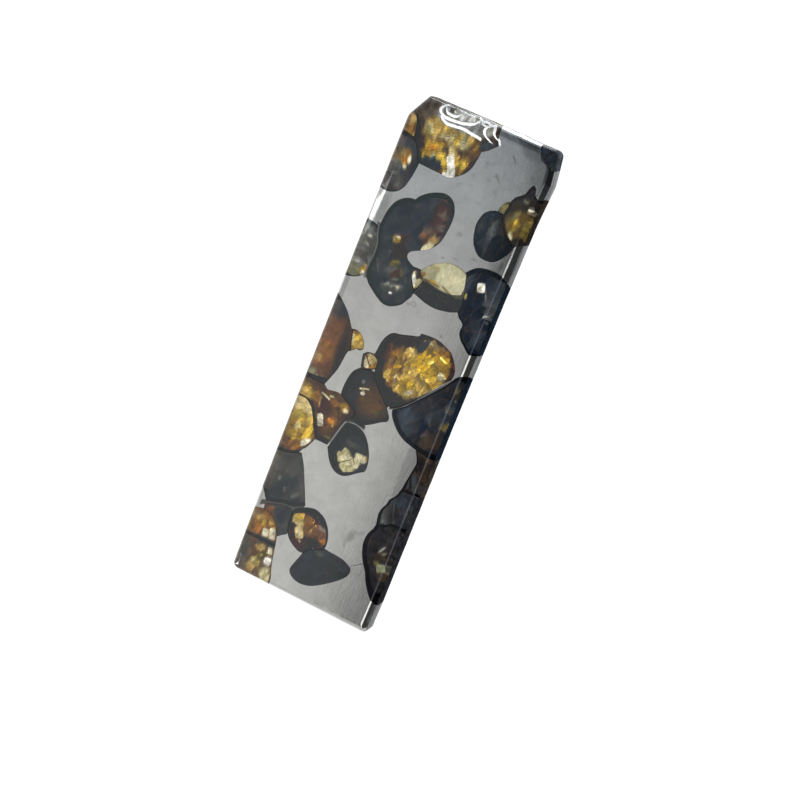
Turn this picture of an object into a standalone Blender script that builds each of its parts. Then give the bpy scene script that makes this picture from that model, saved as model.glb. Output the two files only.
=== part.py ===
"""Pallasite meteorite slice: a thin cut bar of iron-nickel metal set with olivine crystals.

The bar lies flat. Z points up out of its polished face, Y runs along its length and X across
it. The origin is under the middle of the bar, at the height of its back face.

The metal is one connected body. Every crystal is a body of its own that sits in a pocket of
the metal. Most crystals run from the polished face to the back, and each narrows or leans on
its way down, so that metal slopes in under one of its sides. A few end inside the metal.
"""

from math import ceil, cos, hypot, pi, sin, tan

import bmesh
import bpy
from mathutils import Matrix, Vector

MM = 0.001

# Driving dimensions, in mm
THICKNESS = 2.0
EDGE_WIDTH = 0.70     # how far the rounded edge reaches in from the side
EDGE_DEPTH = 0.50     # how far it reaches down from each face
EDGE_STEPS = 3        # facets across one rounded edge
CORNER_STEPS = 3      # facets round one corner of the bar
SEAT = 0.04           # gap between a crystal and the metal around it
CONTACT = 0.04        # gap between two crystals that meet
OVERRUN = 0.3         # how far a crystal's column is drawn past the faces before it is trimmed
SPACING = 0.62        # longest straight step along a curved outline
CENTRE = (-0.165, 19.364)  # the middle of the bar in the coordinates of the outlines

# Outlines are in mm, x across and y up the bar from its lower end. A third value is the
# radius of a rounded corner of the bar; the other points are slight bends in its sides.
BAR = [
    (-6.07, -0.2, 0.5), (-6.12, 3.0), (-6.2, 12.0), (-6.2, 27.0), (-6.15, 36.0),
    (-6.13, 37.05, 0.6), (-5.1, 38.93, 0.3), (0.0, 38.92), (5.5, 38.8, 0.5), (5.86, 36.3),
    (5.7, 33.2), (5.66, 27.0), (5.69, 17.0), (5.8, 8.0), (5.87, 2.5), (5.85, -0.2, 0.5),
]

# name, (scale, shift across, shift along) of the back outline, height of the crystal's foot,
# base colour, outline at the polished face. A third value marks a sharp corner of a crystal,
# and its other points are joined by a smooth curve. The first crystals keep their full shape,
# and a later one that meets them is trimmed to fit.
CRYSTALS = [
    ("crystal_centre_golden", (0.92, 0.05, -0.1), 0.0, (0.62, 0.38, 0.07), [
        (-1.62, 19.8, 1), (-1.55, 20.3), (-1.48, 20.9), (-1.25, 21.5), (-0.9, 21.88),
        (-0.3, 22.02), (0.4, 22.25), (1.0, 22.45), (1.12, 22.72, 1), (2.0, 22.8),
        (2.6, 22.75), (3.2, 22.55), (3.7, 22.35, 1), (4.05, 21.95), (4.35, 21.5),
        (4.52, 21.0), (4.45, 20.5), (3.95, 19.85), (2.95, 18.6), (2.0, 17.5), (1.5, 17.05),
        (1.1, 16.8), (0.9, 16.72, 1), (0.45, 16.85), (-0.35, 17.65), (-1.1, 18.5, 1),
        (-1.15, 19.0), (-1.2, 19.5)]),
    ("crystal_top_golden", (0.94, -0.1, -0.36), 0.0, (0.60, 0.36, 0.08), [
        (-3.95, 34.12, 1), (-3.0, 34.08), (-1.5, 34.0), (-1.0, 34.25), (-0.45, 34.7),
        (-0.1, 35.3), (0.05, 36.0), (0.12, 36.62, 1), (0.6, 36.95), (1.1, 37.45, 1),
        (0.88, 38.1), (0.8, 39.6, 1), (-5.2, 39.6, 1), (-6.05, 37.95, 1), (-5.35, 37.2),
        (-5.02, 36.4), (-4.97, 35.72, 1), (-4.6, 35.3), (-4.3, 34.8)]),
    ("crystal_pale_yellow", (0.80, -0.2, 0.8), 0.0, (0.80, 0.72, 0.42), [
        (-0.72, 26.95, 1), (-0.45, 27.35), (0.0, 27.78), (0.5, 28.08), (1.0, 28.28),
        (1.7, 28.35), (2.2, 28.22), (2.52, 28.05, 1), (2.7, 27.5), (2.98, 26.5),
        (3.08, 25.9), (3.03, 25.33, 1), (2.5, 25.1), (1.9, 24.95), (1.3, 24.87),
        (0.6, 24.93), (0.0, 25.08), (-0.66, 25.3, 1), (-0.45, 25.7), (-0.15, 26.15),
        (-0.45, 26.6)]),
    ("crystal_large_dark", (0.94, -0.24, -0.25), 0.0, (0.06, 0.07, 0.08), [
        (-3.12, 31.55, 1), (-2.85, 31.95), (-2.4, 32.32), (-1.85, 32.62), (-1.2, 32.8),
        (-0.6, 32.65), (-0.2, 32.2), (0.0, 31.6), (0.02, 30.9), (-0.05, 30.2), (-0.18, 29.55),
        (-0.45, 29.05), (-0.9, 28.6), (-1.9, 28.05), (-2.12, 27.82), (-2.15, 27.55),
        (-1.95, 27.28), (-1.5, 27.05), (-1.2, 26.95, 1), (-1.32, 26.5), (-1.2, 26.1),
        (-0.95, 25.7), (-0.68, 25.35, 1), (-0.7, 24.95), (-0.95, 24.5), (-1.2, 24.1),
        (-1.6, 23.8), (-2.1, 23.6), (-2.75, 23.68), (-3.85, 24.35), (-4.25, 24.72),
        (-4.5, 25.15), (-4.52, 25.8), (-4.45, 26.6), (-4.5, 27.45), (-4.72, 28.1),
        (-4.88, 28.75), (-4.85, 29.5), (-4.75, 30.1), (-4.5, 30.75), (-4.1, 31.2),
        (-3.6, 31.48)]),
    ("crystal_right_golden", (0.92, -0.2, -0.2), 0.0, (0.45, 0.30, 0.07), [
        (3.38, 32.95, 1), (3.55, 33.7), (3.58, 34.2), (3.8, 34.6), (4.15, 34.88),
        (4.35, 35.1, 1), (4.48, 35.55), (4.65, 35.85, 1), (4.85, 35.72), (4.98, 35.3),
        (5.2, 35.08, 1), (5.55, 35.05), (6.6, 35.9, 1), (6.6, 31.9, 1), (5.5, 31.62),
        (5.2, 31.45), (4.95, 31.25, 1), (4.65, 31.45), (4.2, 31.78), (3.85, 32.2)]),
    ("crystal_oval_dark", (0.80, -0.1, 0.0), 0.35, (0.05, 0.06, 0.09), [
        (1.83, 31.6), (1.9, 32.2), (2.1, 32.7), (2.5, 33.02), (2.95, 33.15), (3.4, 33.05, 1),
        (3.65, 32.75), (3.9, 32.25), (4.25, 31.85), (5.0, 31.3, 1), (4.88, 30.85),
        (4.62, 30.35), (4.3, 29.95), (3.9, 29.67), (3.3, 29.6), (2.8, 29.72), (2.38, 30.1),
        (2.05, 30.65)]),
    ("crystal_round_cream", (0.74, 0.05, -0.55), 0.0, (0.70, 0.70, 0.55), [
        (-1.6, 14.22, 1), (-1.25, 14.3), (-0.85, 14.3), (-0.45, 14.2), (-0.1, 14.0),
        (0.3, 13.6), (0.6, 13.15), (0.85, 12.65), (1.0, 12.1), (1.05, 11.6),
        (0.97, 11.35, 1), (0.5, 11.02), (0.1, 10.68), (-0.3, 10.42), (-0.7, 10.33),
        (-1.1, 10.4), (-1.5, 10.65), (-1.9, 11.1), (-2.32, 11.85, 1), (-2.05, 12.9),
        (-1.75, 14.0)]),
    ("crystal_lower_round_amber", (0.93, -0.25, -0.6), 0.0, (0.50, 0.28, 0.10), [
        (-2.3, 6.72), (-1.9, 6.9), (-1.4, 7.0), (-0.95, 6.9), (-0.5, 6.67), (-0.18, 6.35),
        (0.1, 5.95), (0.3, 5.45), (0.4, 4.95), (0.35, 4.55), (0.1, 4.35), (-0.35, 4.2),
        (-0.75, 3.9), (-1.05, 3.5, 1), (-1.4, 3.45), (-1.75, 3.57), (-2.15, 3.78),
        (-2.5, 4.05), (-2.75, 4.4), (-2.9, 4.9), (-2.97, 5.5), (-2.98, 6.05),
        (-2.93, 6.3, 1), (-2.65, 6.5)]),
    ("crystal_left_golden", (0.94, -0.2, -0.2), 0.0, (0.62, 0.45, 0.15), [
        (-6.9, 14.75, 1), (-5.8, 14.6), (-5.3, 14.5), (-4.85, 14.22), (-4.52, 13.8),
        (-3.9, 12.7), (-3.62, 12.3), (-3.52, 11.95, 1), (-3.9, 11.15), (-4.15, 10.85),
        (-4.3, 10.5, 1), (-4.9, 10.25), (-5.5, 10.05), (-6.9, 9.9, 1)]),
    ("crystal_left_orange", (0.92, -0.2, -0.1), 0.0, (0.48, 0.25, 0.07), [
        (-6.9, 16.0, 1), (-5.5, 16.08), (-4.38, 16.12, 1), (-4.0, 15.87), (-3.5, 15.95),
        (-3.05, 15.98), (-2.4, 15.7), (-1.5, 15.25), (-1.4, 14.9), (-1.6, 14.55, 1),
        (-1.88, 14.2), (-2.1, 13.5), (-2.47, 12.03, 1), (-3.5, 12.02, 1), (-4.0, 12.8),
        (-4.6, 13.85), (-4.95, 14.25), (-5.4, 14.45), (-6.9, 14.6, 1)]),
    ("crystal_left_red_brown", (0.90, -0.25, -0.1), 0.0, (0.30, 0.14, 0.09), [
        (-6.9, 23.3, 1), (-5.95, 22.82), (-5.4, 22.42), (-4.9, 22.0), (-4.5, 21.52),
        (-3.95, 20.75, 1), (-3.68, 19.7), (-3.6, 19.3, 1), (-3.72, 18.95), (-3.85, 17.9),
        (-4.0, 17.3), (-4.42, 16.15, 1), (-5.6, 15.98), (-6.9, 15.85, 1)]),
    ("crystal_small_golden", (0.88, -0.2, -0.2), 0.0, (0.65, 0.45, 0.12), [
        (-4.05, 20.85, 1), (-3.6, 20.92), (-3.2, 20.78), (-2.9, 20.5), (-2.7, 20.15),
        (-2.62, 19.85, 1), (-2.8, 19.68), (-3.1, 19.65), (-3.35, 19.45), (-3.58, 19.28, 1),
        (-3.75, 19.6), (-3.88, 20.2)]),
    ("crystal_small_pale", (0.88, -0.2, -0.2), 0.0, (0.75, 0.66, 0.35), [
        (-2.45, 19.5, 1), (-2.2, 19.75), (-1.9, 19.82), (-1.55, 19.85, 1), (-1.2, 19.65),
        (-1.05, 19.2), (-1.2, 18.85), (-2.0, 18.5), (-2.25, 18.6, 1), (-2.35, 19.0)]),
    ("crystal_centre_dark_brown", (0.86, -0.2, -0.2), 0.0, (0.14, 0.09, 0.06), [
        (-2.4, 18.3), (-2.05, 18.58), (-1.6, 18.66), (-1.1, 18.55), (-0.75, 18.15),
        (0.0, 17.25), (0.4, 16.9), (0.75, 16.78), (0.78, 16.5, 1), (1.2, 15.9),
        (1.15, 15.6, 1), (0.7, 15.35), (0.2, 14.97), (-0.6, 14.48, 1), (-1.45, 14.6, 1),
        (-1.42, 14.9), (-1.6, 15.2), (-2.6, 15.66), (-2.88, 15.9, 1), (-2.92, 16.5),
        (-2.87, 17.2), (-2.7, 17.9)]),
    ("crystal_right_upper_dark", (0.92, -0.2, -0.25), 0.0, (0.04, 0.05, 0.08), [
        (2.42, 28.12, 1), (2.75, 28.5), (3.1, 28.8), (3.6, 28.98), (4.2, 29.05), (4.9, 29.0),
        (5.4, 28.75), (6.6, 28.3, 1), (6.6, 23.1, 1), (5.5, 22.9), (4.95, 22.8),
        (4.4, 23.22), (3.95, 23.6), (3.72, 24.05), (3.75, 24.5), (3.6, 24.75), (3.25, 25.0),
        (2.98, 25.36, 1), (2.98, 25.9), (2.6, 27.5)]),
    ("crystal_right_middle_dark", (0.92, -0.15, -0.2), 0.0, (0.06, 0.06, 0.07), [
        (4.62, 20.5, 1), (4.85, 20.85), (5.25, 21.1), (5.6, 21.25), (6.6, 21.5, 1),
        (6.6, 14.3, 1), (5.5, 14.45), (4.1, 14.62, 1), (3.5, 14.75), (2.9, 14.92),
        (2.3, 15.25), (1.8, 15.7), (1.4, 16.2), (1.25, 16.6, 1), (1.65, 16.9), (2.15, 17.35),
        (3.09, 18.48), (4.12, 19.75)]),
    ("crystal_right_brown", (0.92, -0.15, -0.25), 0.0, (0.12, 0.08, 0.07), [
        (4.02, 14.7, 1), (4.3, 14.2), (4.5, 13.7), (4.45, 13.15), (4.27, 11.9),
        (4.2, 11.3, 1), (5.0, 11.38), (6.6, 11.45, 1), (6.6, 14.5, 1), (5.3, 14.6)]),
    ("crystal_right_blue_black", (0.90, -0.15, -0.25), 0.0, (0.05, 0.06, 0.08), [
        (4.22, 11.5, 1), (4.1, 11.0), (3.95, 10.65), (3.65, 10.25), (3.58, 9.85),
        (3.38, 9.45), (3.3, 9.1), (3.3, 8.75), (3.45, 8.0, 1), (3.9, 8.15), (4.25, 8.4),
        (4.7, 8.55), (5.3, 8.5), (6.6, 8.4, 1), (6.6, 11.55, 1), (5.2, 11.5)]),
    ("crystal_lower_right_black", (0.88, -0.1, -0.2), 0.0, (0.04, 0.04, 0.05), [
        (3.43, 8.05, 1), (3.35, 7.7), (3.15, 7.25), (3.05, 6.85), (3.05, 6.35), (3.17, 5.85),
        (3.4, 5.3), (3.7, 4.8), (4.05, 4.3), (4.4, 3.6), (4.9, 2.9), (5.5, 2.4),
        (6.7, 2.1, 1), (6.7, 8.6, 1), (5.3, 8.6), (4.7, 8.65), (4.2, 8.5), (3.8, 8.22)]),
    ("crystal_left_clear_grey", (0.93, -0.25, -0.25), 0.0, (0.30, 0.30, 0.26), [
        (-6.9, 29.1, 1), (-5.9, 28.88), (-5.4, 28.82), (-5.08, 28.7, 1), (-4.95, 28.15),
        (-4.72, 27.5), (-4.65, 26.6), (-4.72, 25.8), (-4.7, 25.1), (-4.85, 24.88),
        (-5.15, 24.65), (-5.7, 24.45), (-6.9, 24.2, 1)]),
    ("crystal_left_upper_amber", (0.90, -0.25, -0.15), 0.0, (0.42, 0.28, 0.12), [
        (-6.9, 35.95, 1), (-5.9, 35.85), (-4.95, 35.65), (-4.5, 35.35), (-4.2, 34.85),
        (-3.93, 34.2), (-4.0, 33.3), (-4.12, 32.7), (-4.3, 32.1), (-4.65, 31.65),
        (-5.1, 31.42), (-5.6, 31.35), (-6.9, 31.5, 1)]),
    ("crystal_top_left_amber", (0.93, -0.2, -0.25), 0.0, (0.48, 0.30, 0.12), [
        (-6.9, 38.2, 1), (-5.85, 38.0, 1), (-5.25, 37.2), (-4.92, 36.4), (-4.9, 35.6, 1),
        (-5.9, 35.78), (-6.9, 35.85, 1)]),
    ("crystal_small_cream", (0.90, -0.25, -0.25), 0.0, (0.72, 0.70, 0.50), [
        (-1.3, 27.0, 1), (-0.72, 27.0), (-0.45, 26.7), (-0.2, 26.4), (0.0, 26.15, 1),
        (-0.3, 25.7), (-0.62, 25.22, 1), (-1.0, 25.65), (-1.3, 26.1), (-1.42, 26.5)]),
    ("crystal_small_olive", (0.75, 0.0, 0.0), 0.6, (0.42, 0.38, 0.18), [
        (2.95, 33.2), (3.05, 33.6), (3.25, 33.95), (3.5, 34.1), (3.68, 33.9), (3.6, 33.4),
        (3.45, 33.0), (3.15, 33.02)]),
    ("crystal_top_right_dark", (0.85, 0.1, 0.1), 0.4, (0.05, 0.06, 0.09), [
        (3.95, 39.5, 1), (4.0, 38.72), (4.2, 38.25), (4.45, 37.75), (4.9, 37.58),
        (5.15, 37.35), (5.45, 37.28), (5.75, 37.4), (6.6, 37.9, 1), (6.6, 39.5, 1)]),
    ("crystal_lower_left_amber", (0.93, -0.2, -0.25), 0.0, (0.55, 0.38, 0.16), [
        (-6.9, 4.75, 1), (-5.9, 5.05), (-5.5, 5.18), (-5.15, 5.22), (-4.6, 5.1), (-4.2, 4.85),
        (-3.9, 4.48), (-3.48, 3.72, 1), (-3.32, 2.98, 1), (-4.4, 2.95), (-6.9, 2.8, 1)]),
    ("crystal_bottom_left_amber", (0.93, -0.2, -0.25), 0.0, (0.50, 0.40, 0.20), [
        (-6.9, 2.9, 1), (-4.4, 3.05), (-3.34, 3.05, 1), (-3.22, 2.4), (-3.1, 1.8),
        (-2.98, 1.3), (-2.85, 0.9), (-2.72, 0.5), (-2.7, 0.1), (-2.8, -0.8, 1),
        (-6.9, -0.8, 1)]),
    ("crystal_left_slate", (0.90, -0.2, -0.2), 0.0, (0.10, 0.10, 0.11), [
        (-6.9, 10.15, 1), (-5.6, 10.1), (-5.0, 10.3), (-4.08, 10.52, 1), (-3.6, 9.75),
        (-3.1, 8.7), (-2.6, 7.62), (-2.3, 6.92, 1), (-2.95, 6.55, 1), (-3.4, 6.42),
        (-3.9, 6.38), (-4.4, 6.22), (-5.3, 5.95, 1), (-5.5, 6.2), (-5.8, 6.6),
        (-6.9, 7.5, 1)]),
    ("crystal_lower_blue_grey", (0.80, 0.0, 0.0), 0.4, (0.09, 0.10, 0.13), [
        (-5.28, 5.7, 1), (-4.35, 6.02), (-3.9, 6.18), (-3.35, 6.2), (-2.9, 6.1, 1),
        (-2.88, 5.5), (-2.8, 4.6), (-2.82, 4.25, 1), (-3.1, 4.05), (-3.5, 3.72, 1),
        (-3.75, 4.05), (-4.0, 4.45), (-4.25, 4.78), (-4.6, 5.0), (-5.2, 5.08, 1)]),
    ("crystal_bottom_dark", (0.80, 0.0, 0.1), 0.4, (0.07, 0.07, 0.08), [
        (0.2, 4.55, 1), (0.8, 4.48), (1.5, 4.45), (2.1, 4.38), (2.55, 4.2), (2.85, 4.0),
        (2.88, 3.6), (2.6, 3.1), (2.1, 2.6), (1.5, 2.1), (0.9, 1.65), (0.2, 1.3),
        (-0.5, 1.2), (-1.1, 1.35), (-1.48, 1.7), (-1.48, 2.1), (-1.15, 3.1), (-1.0, 3.62, 1),
        (-0.7, 4.0), (-0.3, 4.3)]),
]


def counter_clockwise(points):
    """The points in counter-clockwise order."""
    area = sum(a[0] * b[1] - b[0] * a[1] for a, b in zip(points, points[1:] + points[:1]))
    return points if area > 0 else points[::-1]


def smooth_outline(points, spacing):
    """Closed curve through the points, left sharp where a point is marked as a corner."""
    count = len(points)
    curve = []
    for i in range(count):
        before, start, end, after = (points[(i + k) % count] for k in (-1, 0, 1, 2))
        if len(start) == 3:
            before = start
        if len(end) == 3:
            after = end
        steps = max(1, ceil(hypot(end[0] - start[0], end[1] - start[1]) / spacing))
        straight = len(start) == 3 and len(end) == 3
        for j in range(1 if straight else steps):
            t = j / steps
            curve.append(tuple(
                0.5 * (2 * start[k] + (end[k] - before[k]) * t
                       + (2 * before[k] - 5 * start[k] + 4 * end[k] - after[k]) * t * t
                       + (3 * start[k] - before[k] - 3 * end[k] + after[k]) * t ** 3)
                for k in (0, 1)))
    return counter_clockwise(curve)


def offset_outline(points, distance):
    """Counter-clockwise outline moved outward by a distance, or inward by a negative one."""
    moved = []
    for before, here, after in zip(points[-1:] + points[:-1], points, points[1:] + points[:1]):
        first = (Vector(here) - Vector(before)).normalized()
        second = (Vector(after) - Vector(here)).normalized()
        normal = Vector((first.y + second.y, -first.x - second.x)).normalized()
        stretch = max(0.5, normal.dot(Vector((first.y, -first.x))))
        moved.append(tuple(Vector(here) + normal * distance / stretch))
    return moved


def bar_outline(inset):
    """The bar's outline moved inward, with its corners rounded by a smaller radius."""
    points = counter_clockwise(BAR)
    bends = offset_outline([point[:2] for point in points], -inset)
    outline = []
    for i, point in enumerate(points):
        here = Vector(bends[i])
        if len(point) == 2:
            outline.append(tuple(here))
            continue
        radius = max(point[2] - inset, 0.08)
        first = (here - Vector(bends[i - 1])).normalized()
        second = (Vector(bends[(i + 1) % len(bends)]) - here).normalized()
        turn = first.angle(second)
        spoke = Vector((first.y, -first.x)) * radius
        middle = here - first * radius * tan(turn / 2) - spoke
        for step in range(CORNER_STEPS + 1):
            a = turn * step / CORNER_STEPS
            outline.append((middle.x + spoke.x * cos(a) - spoke.y * sin(a),
                            middle.y + spoke.x * sin(a) + spoke.y * cos(a)))
    return outline


def solid_from_rings(name, rings):
    """Closed solid through rings of equal length, listed from the top down, in mm."""
    mesh = bmesh.new()
    loops = [[mesh.verts.new((x - CENTRE[0], y - CENTRE[1], z))
              for x, y, z in ring] for ring in rings]
    mesh.faces.new(loops[0])
    mesh.faces.new(loops[-1][::-1])
    for upper, lower in zip(loops, loops[1:]):
        for i in range(len(upper)):
            j = (i + 1) % len(upper)
            mesh.faces.new((upper[i], lower[i], lower[j], upper[j]))
    bmesh.ops.recalc_face_normals(mesh, faces=mesh.faces)
    data = bpy.data.meshes.new(name)
    mesh.to_mesh(data)
    mesh.free()
    body = bpy.data.objects.new(name, data)
    bpy.context.scene.collection.objects.link(body)
    return body


def bar_blank(name):
    """The whole bar before the crystals are set in it: two flat faces and rounded edges."""
    rings = []
    for side in (1, -1):
        steps = range(EDGE_STEPS + 1) if side > 0 else range(EDGE_STEPS, -1, -1)
        for step in steps:
            angle = 0.5 * pi * step / EDGE_STEPS
            inset = EDGE_WIDTH * (1 - sin(angle))
            drop = EDGE_DEPTH * (1 - cos(angle))
            z = THICKNESS - drop if side > 0 else drop
            rings.append([(x, y, z) for x, y in bar_outline(inset)])
    return solid_from_rings(name, rings)


def column(name, outline, back, foot, grow):
    """A crystal's column, drawn past the faces, with its outline grown by a gap."""
    edge = offset_outline(smooth_outline(outline, SPACING), grow)
    middle_x = sum(p[0] for p in edge) / len(edge)
    middle_y = sum(p[1] for p in edge) / len(edge)
    scale, across, along = back
    bottom = foot - grow if foot > 0 else -OVERRUN
    rings = []
    for z in (THICKNESS + OVERRUN, bottom):
        t = (THICKNESS - z) / THICKNESS
        s = 1 + (scale - 1) * t
        rings.append([(middle_x + (x - middle_x) * s + across * t,
                       middle_y + (y - middle_y) * s + along * t, z) for x, y in edge])
    return solid_from_rings(name, rings)


def apply_boolean(body, tool, operation):
    """Join or cut two bodies exactly, then drop the tool."""
    tool.hide_render = True
    tool.display_type = 'WIRE'
    modifier = body.modifiers.new("shape", 'BOOLEAN')
    modifier.solver = 'EXACT'
    modifier.operation = operation
    modifier.object = tool
    bpy.context.view_layer.update()
    result = body.evaluated_get(bpy.context.evaluated_depsgraph_get())
    data = bpy.data.meshes.new_from_object(result)
    body.modifiers.clear()
    body.data = data
    bpy.data.objects.remove(tool)


def keep_largest(body):
    """Leave only the largest connected piece, without the crumbs that the cuts leave."""
    mesh = bmesh.new()
    mesh.from_mesh(body.data)
    left = set(mesh.faces)
    pieces = []
    while left:
        stack = [left.pop()]
        piece = list(stack)
        while stack:
            for edge in stack.pop().edges:
                for face in edge.link_faces:
                    if face in left:
                        left.remove(face)
                        stack.append(face)
                        piece.append(face)
        pieces.append(piece)
    pieces.sort(key=lambda piece: sum(face.calc_area() for face in piece))
    for piece in pieces[:-1]:
        bmesh.ops.delete(mesh, geom=piece, context='FACES')
    loose = [vert for vert in mesh.verts if not vert.link_faces]
    bmesh.ops.delete(mesh, geom=loose, context='VERTS')
    mesh.to_mesh(body.data)
    mesh.free()


def finish(body, colour, roughness, metallic):
    """From mm to metres, an own material, and soft shading over the rounded edges only."""
    material = bpy.data.materials.new(body.name)
    material.use_nodes = True
    shader = material.node_tree.nodes["Principled BSDF"]
    shader.inputs["Base Color"].default_value = (*colour, 1.0)
    shader.inputs["Roughness"].default_value = roughness
    shader.inputs["Metallic"].default_value = metallic
    if not metallic:
        shader.inputs["IOR"].default_value = 1.66
        shader.inputs["Transmission Weight"].default_value = 1.0
    body.data.transform(Matrix.Scale(MM, 4))
    body.data.materials.clear()
    body.data.materials.append(material)
    body.data.shade_smooth()
    body.data.set_sharp_from_angle(angle=0.62)


def reach(outline):
    """Box around an outline, wide enough to hold its column at every height."""
    xs = [point[0] for point in outline]
    ys = [point[1] for point in outline]
    return min(xs) - 1, max(xs) + 1, min(ys) - 1, max(ys) + 1


def boxes_meet(a, b):
    return a[0] < b[1] and b[0] < a[1] and a[2] < b[3] and b[2] < a[3]


def build():
    for old in list(bpy.data.objects):
        bpy.data.objects.remove(old)

    metal = bar_blank("metal_matrix")
    for name, back, foot, colour, outline in CRYSTALS:
        apply_boolean(metal, column("pocket", outline, back, foot, SEAT), 'DIFFERENCE')
    keep_largest(metal)
    finish(metal, (0.40, 0.40, 0.39), 0.35, 1.0)

    for index, (name, back, foot, colour, outline) in enumerate(CRYSTALS):
        crystal = bar_blank(name)
        apply_boolean(crystal, column("column", outline, back, foot, 0.0), 'INTERSECT')
        for other_name, other_back, other_foot, other_colour, other in CRYSTALS[:index]:
            if boxes_meet(reach(outline), reach(other)):
                neighbour = column("neighbour", other, other_back, other_foot, CONTACT)
                apply_boolean(crystal, neighbour, 'DIFFERENCE')
        keep_largest(crystal)
        finish(crystal, colour, 0.08, 0.0)


build()
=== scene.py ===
"""Pallasite meteorite slice: a polished bar of iron-nickel metal with olivine crystals set in it.

The slice lies flat on a bright floor, so light comes up through its crystals. The outlines are
those of the solids, drawn here with finer steps. All patterns are laid out in mm, in
the same coordinates as the outlines: x across the bar, y up from its lower end.
"""

from math import ceil, cos, hypot, pi, radians, sin, tan

import bmesh
import bpy
from mathutils import Matrix, Vector, noise


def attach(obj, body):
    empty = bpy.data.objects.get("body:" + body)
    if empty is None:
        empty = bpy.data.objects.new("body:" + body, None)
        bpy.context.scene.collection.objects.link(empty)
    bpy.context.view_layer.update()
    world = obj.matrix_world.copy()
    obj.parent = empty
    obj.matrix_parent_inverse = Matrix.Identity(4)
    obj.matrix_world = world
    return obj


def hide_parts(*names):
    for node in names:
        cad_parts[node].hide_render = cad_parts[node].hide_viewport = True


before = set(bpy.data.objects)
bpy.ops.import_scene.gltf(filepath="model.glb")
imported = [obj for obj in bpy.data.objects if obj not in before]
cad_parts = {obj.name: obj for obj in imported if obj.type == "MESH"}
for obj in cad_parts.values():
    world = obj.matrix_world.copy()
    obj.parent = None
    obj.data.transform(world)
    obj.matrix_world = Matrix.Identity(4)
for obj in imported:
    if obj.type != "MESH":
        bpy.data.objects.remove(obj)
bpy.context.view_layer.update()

MM = 0.001

# Shape of the bar, in mm
THICKNESS = 2.0
EDGE_WIDTH = 0.70     # how far the rounded edge reaches in from the side
EDGE_DEPTH = 0.50     # how far it reaches down from each face
EDGE_STEPS = 9        # facets across one rounded edge
CORNER_STEPS = 8      # facets round one corner of the bar
RIM_SPACING = 0.16    # step along the sides of the bar
GROWTH = 0.02         # how far a crystal reaches past its outline
SEAT = 0.035          # how far its pocket does
CONTACT = 0.05        # how far a neighbour that was there first does
OVERRUN = 0.3         # how far a crystal's column is drawn past the faces before it is trimmed
SPACING = 0.14        # longest straight step along a crystal's outline
RAGGED = 0.02         # size of the cut edge's uneven wear
WORN_FROM = 37.6      # the wear grows above this height, at the top end
WORN_MORE = 1.6       # by this share of itself over 1 mm
LEAST_RADIUS = 0.08   # smallest radius of a corner of the bar
SAWN_FROM = 5.0       # the sawn side starts this far across
SAWN_TILT = 0.66      # and takes the faces that look up less than this
UPRIGHT = 0.1         # a face that looks up less than this is a side, all round the bar
SHARP_ANGLE = 0.45    # edges that turn more than this stay sharp, in radians
CENTRE = (-0.165, 19.364)  # the middle of the bar in the coordinates of the outlines

# Outlines are in mm, x across and y up the bar from its lower end. A third value is the
# radius of a rounded corner of the bar; the other points are slight bends in its sides.
BAR = [
    (-6.07, -0.2, 0.5), (-6.12, 3.0), (-6.2, 12.0), (-6.2, 27.0), (-6.15, 36.0),
    (-6.13, 37.05, 0.6), (-5.1, 38.93, 0.3), (0.0, 38.92), (5.5, 38.8, 0.5), (5.86, 36.3),
    (5.7, 33.2), (5.66, 27.0), (5.69, 17.0), (5.8, 8.0), (5.87, 2.5), (5.85, -0.2, 0.5),
]

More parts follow.
